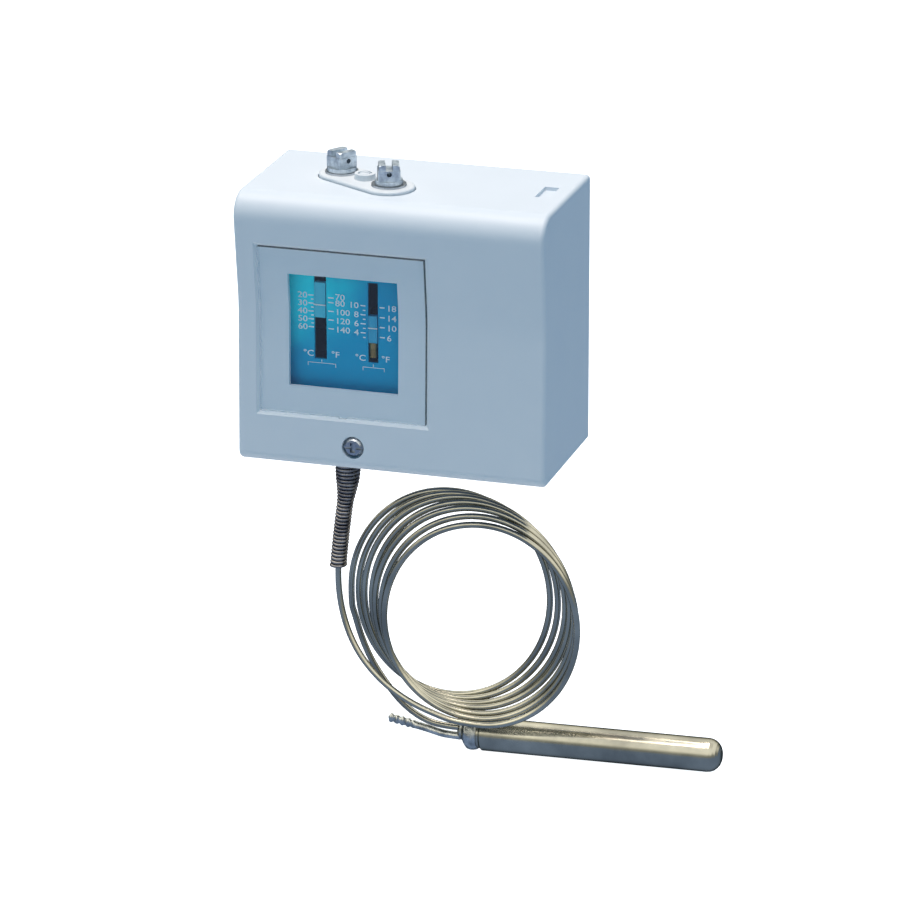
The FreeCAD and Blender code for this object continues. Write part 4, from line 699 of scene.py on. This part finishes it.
@dataclass
class Capillary:
    """The capillary: down through the guard spring, 6.8 loose turns, then to the bulb."""

    exit_mm: Triple = (-24.4, -27.0, -54.0)
    diameter_mm: float = 2.3
    length_mm: float = 1750.0
    lead_mm: tuple[Triple, ...] = (
        (0.0, 0.0, 0.0), (0.0, 0.0, -8.0), (-1.6, 0.0, -19.0), (-3.1, 0.0, -31.0),
        (-4.2, -0.1, -42.5), (-3.3, -0.9, -52.8), (-0.4, -2.4, -62.4), (4.3, -4.4, -70.3),
        (10.3, -6.1, -76.6), (16.9, -7.0, -81.8), (25.0, -7.1, -86.6), (35.4, -7.0, -90.3))
    tail_mm: tuple[Triple, ...] = (
        (-0.6, 7.7, -61.2), (1.8, 7.7, -69.8), (5.6, 7.7, -78.4), (10.8, 7.8, -86.2),
        (16.4, 7.8, -93.0), (23.2, 7.8, -97.9), (30.6, 7.8, -100.2), (37.86, 7.8, -100.05))
    first_centre_mm: Triple = (50.8, -7.0, -55.4)
    last_centre_mm: Triple = (33.9, 7.7, -48.7)
    first_radii_mm: tuple[float, float] = (34.6, 36.6)
    last_radii_mm: tuple[float, float] = (35.7, 37.9)
    start_turn: float = 256.0 / 360.0
    end_turn: float = 2712.0 / 360.0
    per_turn: int = 16
    fan: tuple[float, ...] = (0.0, 0.02, -0.02, 0.03, -0.02, 0.02, -0.01, 0.0)
    bulge_mm: tuple[float, float] = (2.3, 1.9)
    bulge_radius_mm: float = 0.8
    lean_mm: tuple[float, float] = (0.7, 0.8)
    order: int = 3
    steps: int = 6
    reading_steps: int = 12
    bevel_steps: int = 3
    piece: Any = None

    def coil_points(self) -> list[Triple]:
        """Works out the control points of the loose turns.

        With turn number q from start_turn to end_turn and share w from 0 to 1, the centre
        and the radii go from the first turn's to the last turn's, plus a bulge that grows
        and fades as sin(pi w). The point is centre + (rx cos a + k sin a, depth,
        rz sin a + k cos a), where a = 2 pi q and k leans the oval, widened by
        1 / cos(pi / per_turn), because the curve cuts inside its control points. Each turn
        stands a little out of line, by the fan's share, since nothing ties them.

        Returns:
            The points, in millimetres from the exit.
        """
        count = int(round((self.end_turn - self.start_turn) * self.per_turn)) + 1
        w = np.linspace(0, 1, count)
        q = self.start_turn + (self.end_turn - self.start_turn) * w
        uneven = np.interp(w * (len(self.fan) - 1), np.arange(len(self.fan)), self.fan)
        shift = np.clip(w + uneven * np.sin(math.pi * w), 0, 1)[:, None]
        first, last = np.array(self.first_centre_mm), np.array(self.last_centre_mm)
        centre = first + (last - first) * shift
        centre[:, 1] = first[1] + (last[1] - first[1]) * w
        swell = np.sin(math.pi * w)
        centre[:, 0] += self.bulge_mm[0] * swell
        centre[:, 2] += self.bulge_mm[1] * swell
        radii = (np.array(self.first_radii_mm) * (1 - shift)
                 + np.array(self.last_radii_mm) * shift + self.bulge_radius_mm * swell[:, None])
        widen = 1 / math.cos(math.pi / self.per_turn)
        lean = self.lean_mm[0] * (1 - w) + self.lean_mm[1] * w
        turn = 2 * math.pi * q
        points = centre.copy()
        points[:, 0] += widen * (radii[:, 0] * np.cos(turn) + lean * np.sin(turn))
        points[:, 2] += widen * (radii[:, 1] * np.sin(turn) + lean * np.cos(turn))
        return [tuple(point) for point in points.tolist()]

    def build(self) -> bpy.types.Object:
        """Returns:
            The capillary.
        """
        route = list(self.lead_mm) + self.coil_points() + list(self.tail_mm)
        places = (np.array(route) + np.array(self.exit_mm)) * MM
        curve = bpy.data.curves.new("capillary", "CURVE")
        curve.dimensions = "3D"
        spline = curve.splines.new("NURBS")
        spline.points.add(len(places) - 1)
        spline.points.foreach_set("co", np.c_[places, np.ones(len(places))].ravel())
        spline.order_u = self.order
        spline.use_endpoint_u = True
        curve.resolution_u = self.steps
        curve.bevel_depth = self.diameter_mm / 2 * MM
        curve.bevel_resolution = self.bevel_steps
        curve.use_fill_caps = True
        curve.materials.append(RACK.get(Finish.COPPER))
        self.piece = put("capillary", curve)
        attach(self.piece, "case")
        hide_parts("capillary_lead", "capillary_coil", "capillary_tail")
        return self.piece

    def centreline(self) -> Points:
        """Reads the points that the spline follows.

        Returns:
            The middle line's points, in metres, from the exit on.
        """
        copy = self.piece.copy()
        copy.data = self.piece.data.copy()
        copy.data.bevel_depth = 0.0
        copy.data.resolution_u = self.reading_steps
        mesh = bpy.data.meshes.new_from_object(copy)
        points = np.zeros(len(mesh.vertices) * 3)
        mesh.vertices.foreach_get("co", points)
        bpy.data.objects.remove(copy)
        bpy.data.meshes.remove(mesh)
        return points.reshape(-1, 3)


def along(path: Points, distances: Points) -> Points:
    """Reads points at given distances along a path, carried straight on past its start.

    Args:
        path: the path's points.
        distances: how far along, in metres; less than nothing lies before the start.

    Returns:
        The points.
    """
    steps = np.linalg.norm(np.diff(path, axis=0), axis=1)
    travelled = np.concatenate([[0.0], np.cumsum(steps)])
    inside = np.stack([np.interp(distances, travelled, path[:, k]) for k in range(3)], axis=1)
    ahead = (path[1] - path[0]) / steps[0]
    return inside + np.minimum(distances, 0.0)[:, None] * ahead


@dataclass
class GuardSpring:
    """The tapered guard spring over the capillary's first stretch."""

    above_exit_mm: float = 4.5
    length_mm: float = 45.5
    pitch_mm: float = 1.36
    wire_mm: float = 1.28
    top_radius_mm: float = 4.5
    end_radius_mm: float = 3.0
    taper_mm: tuple[float, float] = (8.5, 22.0)
    flare_turns: float = 1.6
    flare_run_mm: float = 3.0
    flare_mm: float = 0.35
    per_turn: int = 26
    sides: int = 8
    start_angle: float = -2.2

    def build(self, path: Points) -> bpy.types.Object:
        """Winds the wire round the capillary's own line.

        At winding angle a the wire's middle is P(s) + R(s) (cos a n + sin a b), where s
        grows by the pitch each turn, R falls from the top radius to the end radius along
        the taper and opens a little over the last flare_turns, and n and b are square to
        the capillary.

        Args:
            path: the capillary's middle line.

        Returns:
            The spring.
        """
        turns = self.length_mm / self.pitch_mm
        count = int(turns * self.per_turn) + 1
        angle = np.linspace(0, 2 * math.pi * turns, count)
        drop = self.pitch_mm * angle / (2 * math.pi)
        flared = self.length_mm - self.flare_turns * self.pitch_mm
        lift = np.clip((drop - flared) / self.flare_run_mm, 0, 1)
        share = np.clip((drop - self.taper_mm[0]) / (self.taper_mm[1] - self.taper_mm[0]), 0, 1)
        share = share * share * (3 - 2 * share)
        radius = (self.top_radius_mm * (1 - share) + self.end_radius_mm * share
                  - self.wire_mm / 2 + self.flare_mm * lift)
        middle = along(path, (drop - self.above_exit_mm) * MM)
        heading = unit(np.gradient(middle, axis=0))
        reference = np.array([0.0, 1.0, 0.0])
        normal = unit(reference - heading * (heading @ reference)[:, None])
        other = np.cross(heading, normal)
        wind = angle + self.start_angle
        spoke = np.cos(wind)[:, None] * normal + np.sin(wind)[:, None] * other
        wire = middle + spoke * (radius * MM)[:, None]
        half = np.full(count, self.wire_mm / 2 * MM)
        rings = swept_sleeve(wire, spoke, half, half, self.sides)
        piece = closed_sleeve("guard_spring_wire", rings, Finish.SPRING)
        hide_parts("guard_spring")
        return piece


@dataclass
class SensorBulb:
    """The bulb's soldered neck and the pinched filling tube; the bulb itself is CAD."""

    start_mm: Triple = (13.5, -19.2, -155.65)
    tilt: float = math.radians(1.3)
    neck_mm: float = 7.6
    neck_overlap_mm: float = 0.3
    neck_rows: int = 34
    neck_sides: int = 48
    neck_radii: tuple[tuple[float, float], ...] = (
        (0.0, 1.3), (0.10, 2.3), (0.25, 3.1), (0.38, 4.9), (0.46, 5.75), (0.62, 5.95),
        (0.90, 5.9), (0.97, 5.6), (1.0, 5.2))
    flow: tuple[float, float] = (0.035, 0.022)
    flow_fade: float = 0.75
    stub_inset_mm: float = 0.6
    stub_drop_mm: float = 1.75
    stub_route_mm: tuple[tuple[float, float], ...] = (
        (0.0, 0.0), (-6.5, 0.2), (-12.5, 1.6), (-18.0, 2.6))
    stub_radius_mm: float = 1.35
    stub_steps: int = 150
    stub_sides: int = 28
    smooth_steps: int = 31
    crimp_mm: float = 9.0
    pinch_mm: tuple[float, float] = (0.33, -0.62)
    pinch_run_mm: float = 1.6
    teeth_mm: float = 0.34
    teeth_apart_mm: float = 1.3
    bead_mm: float = 0.22
    bead_wave: tuple[float, float] = (2.9, 1.1)
    close_run_mm: float = 0.5
    close_share: float = 0.25

    def axis(self) -> Points:
        """Returns the bulb's direction, (cos tilt, 0, sin tilt)."""
        return np.array([math.cos(self.tilt), 0.0, math.sin(self.tilt)])

    def neck(self) -> bpy.types.Object:
        """Makes the soldered neck: a collar with a runny cone towards the tubes.

        The radius follows the collar's profile, times 1 + (f sin(3a + 9x) +
        g sin(7a - 14x)) (1 - h x^2), with x the share along it, f and g the flow and h its
        fade, so that it looks flowed on.

        Returns:
            The neck.
        """
        share = np.linspace(0, 1, self.neck_rows)
        knots = np.array(self.neck_radii)
        radius = np.interp(share, knots[:, 0], knots[:, 1])
        radius = np.convolve(np.pad(radius, 1, mode="edge"), [0.25, 0.5, 0.25], mode="valid")
        overlap = self.neck_overlap_mm
        profile = np.stack([share * (self.neck_mm + overlap) - overlap, radius], axis=1) * MM
        sides = self.neck_sides
        rings = turned_rings(np.array(self.start_mm) * MM, self.axis(), profile, sides)
        angle = np.linspace(0, 2 * math.pi, sides, endpoint=False)[None]
        flow = (1 + self.flow[0] * np.sin(3 * angle + 9 * share[:, None])
                + self.flow[1] * np.sin(7 * angle - 14 * share[:, None]))
        flow = 1 + (flow - 1) * (1 - self.flow_fade * share[:, None] ** 2)
        middle = rings.mean(axis=1, keepdims=True)
        rings = middle + (rings - middle) * flow[..., None]
        piece = closed_sleeve("soldered_neck", rings, Finish.SOLDER)
        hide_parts("bulb_neck")
        return piece

    def stub(self) -> bpy.types.Object:
        """Makes the filling tube, pinched flat and soldered shut at its end.

        Along the tube the oval's half width and half depth are the tube's radius. Over the
        pinch the pinch_mm pair is added to them, which makes about 1.7 and 0.7 mm, with
        ripples of the pliers' teeth and beads of solder.

        Returns:
            The stub.
        """
        route = np.array(self.stub_route_mm)
        start = np.array(self.start_mm) + np.array([self.stub_inset_mm, 0.0, -self.stub_drop_mm])
        ahead = unit(route[-1] - route[-2])
        knots = np.concatenate([route, route[-1:] + ahead * self.crimp_mm])
        runs = np.concatenate([[0.0], np.cumsum(np.linalg.norm(np.diff(knots, axis=0), axis=1))])
        s = np.linspace(0, runs[-1], self.stub_steps)
        line = np.stack([np.interp(s, runs, knots[:, 0]), np.interp(s, runs, knots[:, 1])], 1)
        kernel = np.hanning(self.smooth_steps) / np.hanning(self.smooth_steps).sum()
        beyond = self.smooth_steps // 2
        padded = np.pad(line, ((beyond, beyond), (0, 0)), mode="reflect", reflect_type="odd")
        line = np.stack([np.convolve(padded[:, k], kernel, mode="valid") for k in (0, 1)], 1)
        path = np.stack([start[0] + line[:, 0], np.full(len(s), start[1]),
                         start[2] + line[:, 1]], axis=1)
        pinch = np.clip((s - runs[-2] + self.pinch_run_mm) / self.pinch_run_mm, 0, 1)
        teeth = pinch * np.abs(np.sin(math.pi * s / self.teeth_apart_mm)) * self.teeth_mm
        bead = pinch * self.bead_mm * np.sin(self.bead_wave[0] * s + self.bead_wave[1])
        width = self.stub_radius_mm + pinch * (self.pinch_mm[0] + bead) - 0.5 * teeth
        depth = self.stub_radius_mm + pinch * (self.pinch_mm[1] + bead) + teeth
        close = np.clip((runs[-1] - s) / self.close_run_mm, self.close_share, 1)
        across = np.tile([0.0, 0.0, 1.0], (len(s), 1))
        rings = swept_sleeve(path * MM, across, width * close * MM, depth * close * MM,
                             self.stub_sides)
        piece = closed_sleeve("pinched_stub", rings, Finish.SOLDER)
        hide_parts("filling_stub")
        return piece

    def build(self) -> list[bpy.types.Object]:
        """Makes the two pieces.

        Returns:
            The neck, the stub and the CAD bulb.
        """
        return [self.neck(), self.stub(), frame["nodes"]["bulb"]]


@dataclass(frozen=True)
class DialScale:
    """One column of the dial: its numbers, where they end or start, and its ticks.

    The first half_ticks numbers have a short tick half a step below them.
    """

    numbers: tuple[str, ...]
    top: float
    step: float
    number_x: float
    ticks_x: tuple[float, float]
    align: str
    half_ticks: int = 0
    number_lift: float = 0.0


@dataclass
class DialPrint:
    """The white print on the dial: numbers, ticks, degree signs and brackets."""

    front_mm: float = -47.5
    proud_mm: float = 0.04
    digit_mm: float = 2.15
    digit_share: float = 0.72
    digit_stretch: float = 1.2
    digit_bold_mm: float = 0.03
    digit_steps: int = 3
    tick_mm: float = 0.42
    half_tick_mm: float = 0.95
    scales: tuple[DialScale, ...] = (
        DialScale(("20", "30", "40", "50", "60"), 11.80, 2.87, -31.35, (-31.05, -29.15),
                  "RIGHT", 4),
        DialScale(("70",), 11.42, 3.0, -21.45, (-23.95, -21.95), "LEFT", 0, 0.55),
        DialScale(("80", "100", "120", "140"), 9.72, 3.17, -21.45, (-23.95, -21.95), "LEFT"),
        DialScale(("10", "8", "6", "4"), 9.68, 3.27, -12.95, (-12.35, -10.55), "RIGHT", 4),
        DialScale(("18", "14", "10", "6"), 9.55, 3.60, -3.05, (-5.5, -3.7), "LEFT"),
    )
    signs: tuple[tuple[str, float, float], ...] = (
        ("°C", -33.15, -10.15), ("°F", -23.05, -10.0),
        ("°C", -14.5, -10.15), ("°F", -5.05, -10.0))
    brackets: tuple[Triple, ...] = (
        (-31.5, -21.3, -26.45), (-11.75, -3.85, -7.9))
    bracket_z: float = -12.4
    bracket_line_mm: float = 0.22
    bracket_leg_mm: tuple[float, float] = (0.24, 1.25)
    bracket_stem_mm: float = 1.3
    parts: list[tuple[Points, Points]] = field(default_factory=list)

    def words(self, text: str, x: float, z: float, align: str) -> None:
        """Adds printed characters, their foot at z.

        Args:
            text: the characters.
            x: where they start or end, in millimetres.
            z: the height of their foot.
            align: which side x names.
        """
        curve = bpy.data.curves.new("print", "FONT")
        curve.body = text
        curve.size = self.digit_mm / self.digit_share * MM
        curve.align_x = align
        curve.offset = self.digit_bold_mm * MM
        curve.resolution_u = self.digit_steps
        holder = bpy.data.objects.new("print", curve)
        mesh = bpy.data.meshes.new_from_object(holder)
        flat = np.zeros(len(mesh.vertices) * 3)
        mesh.vertices.foreach_get("co", flat)
        flat = flat.reshape(-1, 3)
        mesh.calc_loop_triangles()
        corners = np.zeros(len(mesh.loop_triangles) * 3, np.int32)
        mesh.loop_triangles.foreach_get("vertices", corners)
        y = np.full(len(flat), (self.front_mm - self.proud_mm) * MM)
        across = flat[:, 0] * self.digit_stretch + x * MM
        self.parts.append((np.stack([across, y, flat[:, 1] + z * MM], axis=1),
                           corners.reshape(-1, 3)))
        bpy.data.objects.remove(holder)
        bpy.data.curves.remove(curve)
        bpy.data.meshes.remove(mesh)

    def bar(self, x: tuple[float, float], z: tuple[float, float]) -> None:
        """Adds a printed bar between two places along x and z, in millimetres."""
        y = (self.front_mm - self.proud_mm) * MM
        corners = np.array([[x[0], z[0]], [x[1], z[0]], [x[1], z[1]], [x[0], z[1]]]) * MM
        points = np.stack([corners[:, 0], np.full(4, y), corners[:, 1]], axis=1)
        self.parts.append((points, np.array([[0, 1, 2], [0, 2, 3]])))

    def column(self, scale: DialScale) -> None:
        """Adds one column of numbers and ticks.

        Args:
            scale: the column.
        """
        half = self.tick_mm / 2
        for index, number in enumerate(scale.numbers):
            z = scale.top - index * scale.step
            foot = z + scale.number_lift - self.digit_mm / 2
            self.words(number, scale.number_x, foot, scale.align)
            self.bar(scale.ticks_x, (z - half, z + half))
            if index < scale.half_ticks:
                low, right = z - scale.step / 2, scale.ticks_x[1]
                self.bar((right - self.half_tick_mm, right), (low - half, low + half))

    def build(self) -> bpy.types.Object:
        """Prints everything as one thin piece.

        Returns:
            The print.
        """
        for scale in self.scales:
            self.column(scale)
        for text, x, z in self.signs:
            self.words(text, x, z, "LEFT")
        z, half = self.bracket_z, self.bracket_line_mm / 2
        wide, drop = self.bracket_leg_mm
        for left, right, stem in self.brackets:
            self.bar((left, right), (z - half, z + half))
            self.bar((left, left + wide), (z - drop, z))
            self.bar((right - wide, right), (z - drop, z))
            self.bar((stem - wide / 2, stem + wide / 2), (z, z + self.bracket_stem_mm))
        counts = np.cumsum([0] + [len(points) for points, _ in self.parts])
        points = np.concatenate([points for points, _ in self.parts])
        faces = np.concatenate([faces + first for (_, faces), first in zip(self.parts, counts)])
        mesh = bpy.data.meshes.new("dial_print")
        mesh.from_pydata(points.tolist(), [], faces.tolist())
        mesh.materials.append(RACK.get(Finish.PRINT))
        piece = put("dial_print", mesh)
        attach(piece, "case")
        return piece


@dataclass(frozen=True)
class PointerLine:
    """The white line across a carriage, which is read against the dial's numbers."""

    name: str
    body: str
    x_mm: tuple[float, float]
    z_mm: float
    front_mm: float = -48.05
    half_mm: float = 0.24
    thick_mm: float = 0.1

    def build(self) -> bpy.types.Object:
        """Makes the line as a thin closed bar.

        Returns:
            The line.
        """
        back = self.front_mm + self.thick_mm
        y = np.array([self.front_mm, self.front_mm, back, back])
        z = self.z_mm + self.half_mm * np.array([-1, 1, 1, -1])
        rings = np.stack([np.stack([np.full(4, x), y, z], axis=1) for x in self.x_mm]) * MM
        return closed_sleeve(self.name, rings, Finish.PRINT, self.body)


def dress_cad(record: dict[str, Any]) -> int:
    """Gives every CAD node its own finish, or else that of its material slot.

    Args:
        record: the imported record.

    Returns:
        How many nodes were dressed.
    """
    slots = {sub["node"]: sub["material_slot"] for sub in record["subparts"]}
    for name, node in frame["nodes"].items():
        finish = OWN_FINISHES.get(name) or SLOT_FINISHES[slots[name]]
        material = RACK.get(finish)
        if node.material_slots:
            for holder in node.material_slots:
                holder.material = material
        else:
            node.data.materials.append(material)
    return len(frame["nodes"])


def main() -> None:
    """Builds the scene: camera and capillary first, then the rest."""
    logging.basicConfig(level=logging.INFO, format="%(message)s")
    bpy.context.scene.view_settings.view_transform = "Standard"
    cad_low, cad_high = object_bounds()
    studio = Studio()
    studio.camera()
    capillary = Capillary()
    capillary.build()
    path = capillary.centreline()
    bulb = SensorBulb().build()
    LOG.info("capillary: %d points read from its line", len(path))
    spring = GuardSpring().build(path)
    LOG.info("guard spring: %d faces", len(spring.data.polygons))
    LOG.info("cad nodes dressed: %d", dress_cad(frame["record"]))
    PointerLine("range_pointer_line", "range_carriage", (-29.0, -24.7), 8.7).build()
    PointerLine("diff_pointer_line", "diff_carriage", (-9.6, -6.2), 1.9).build()
    dial = DialPrint().build()
    LOG.info("dial print: %d faces", len(dial.data.polygons))
    studio.build(cad_low)


if __name__ == "__main__":
    main()
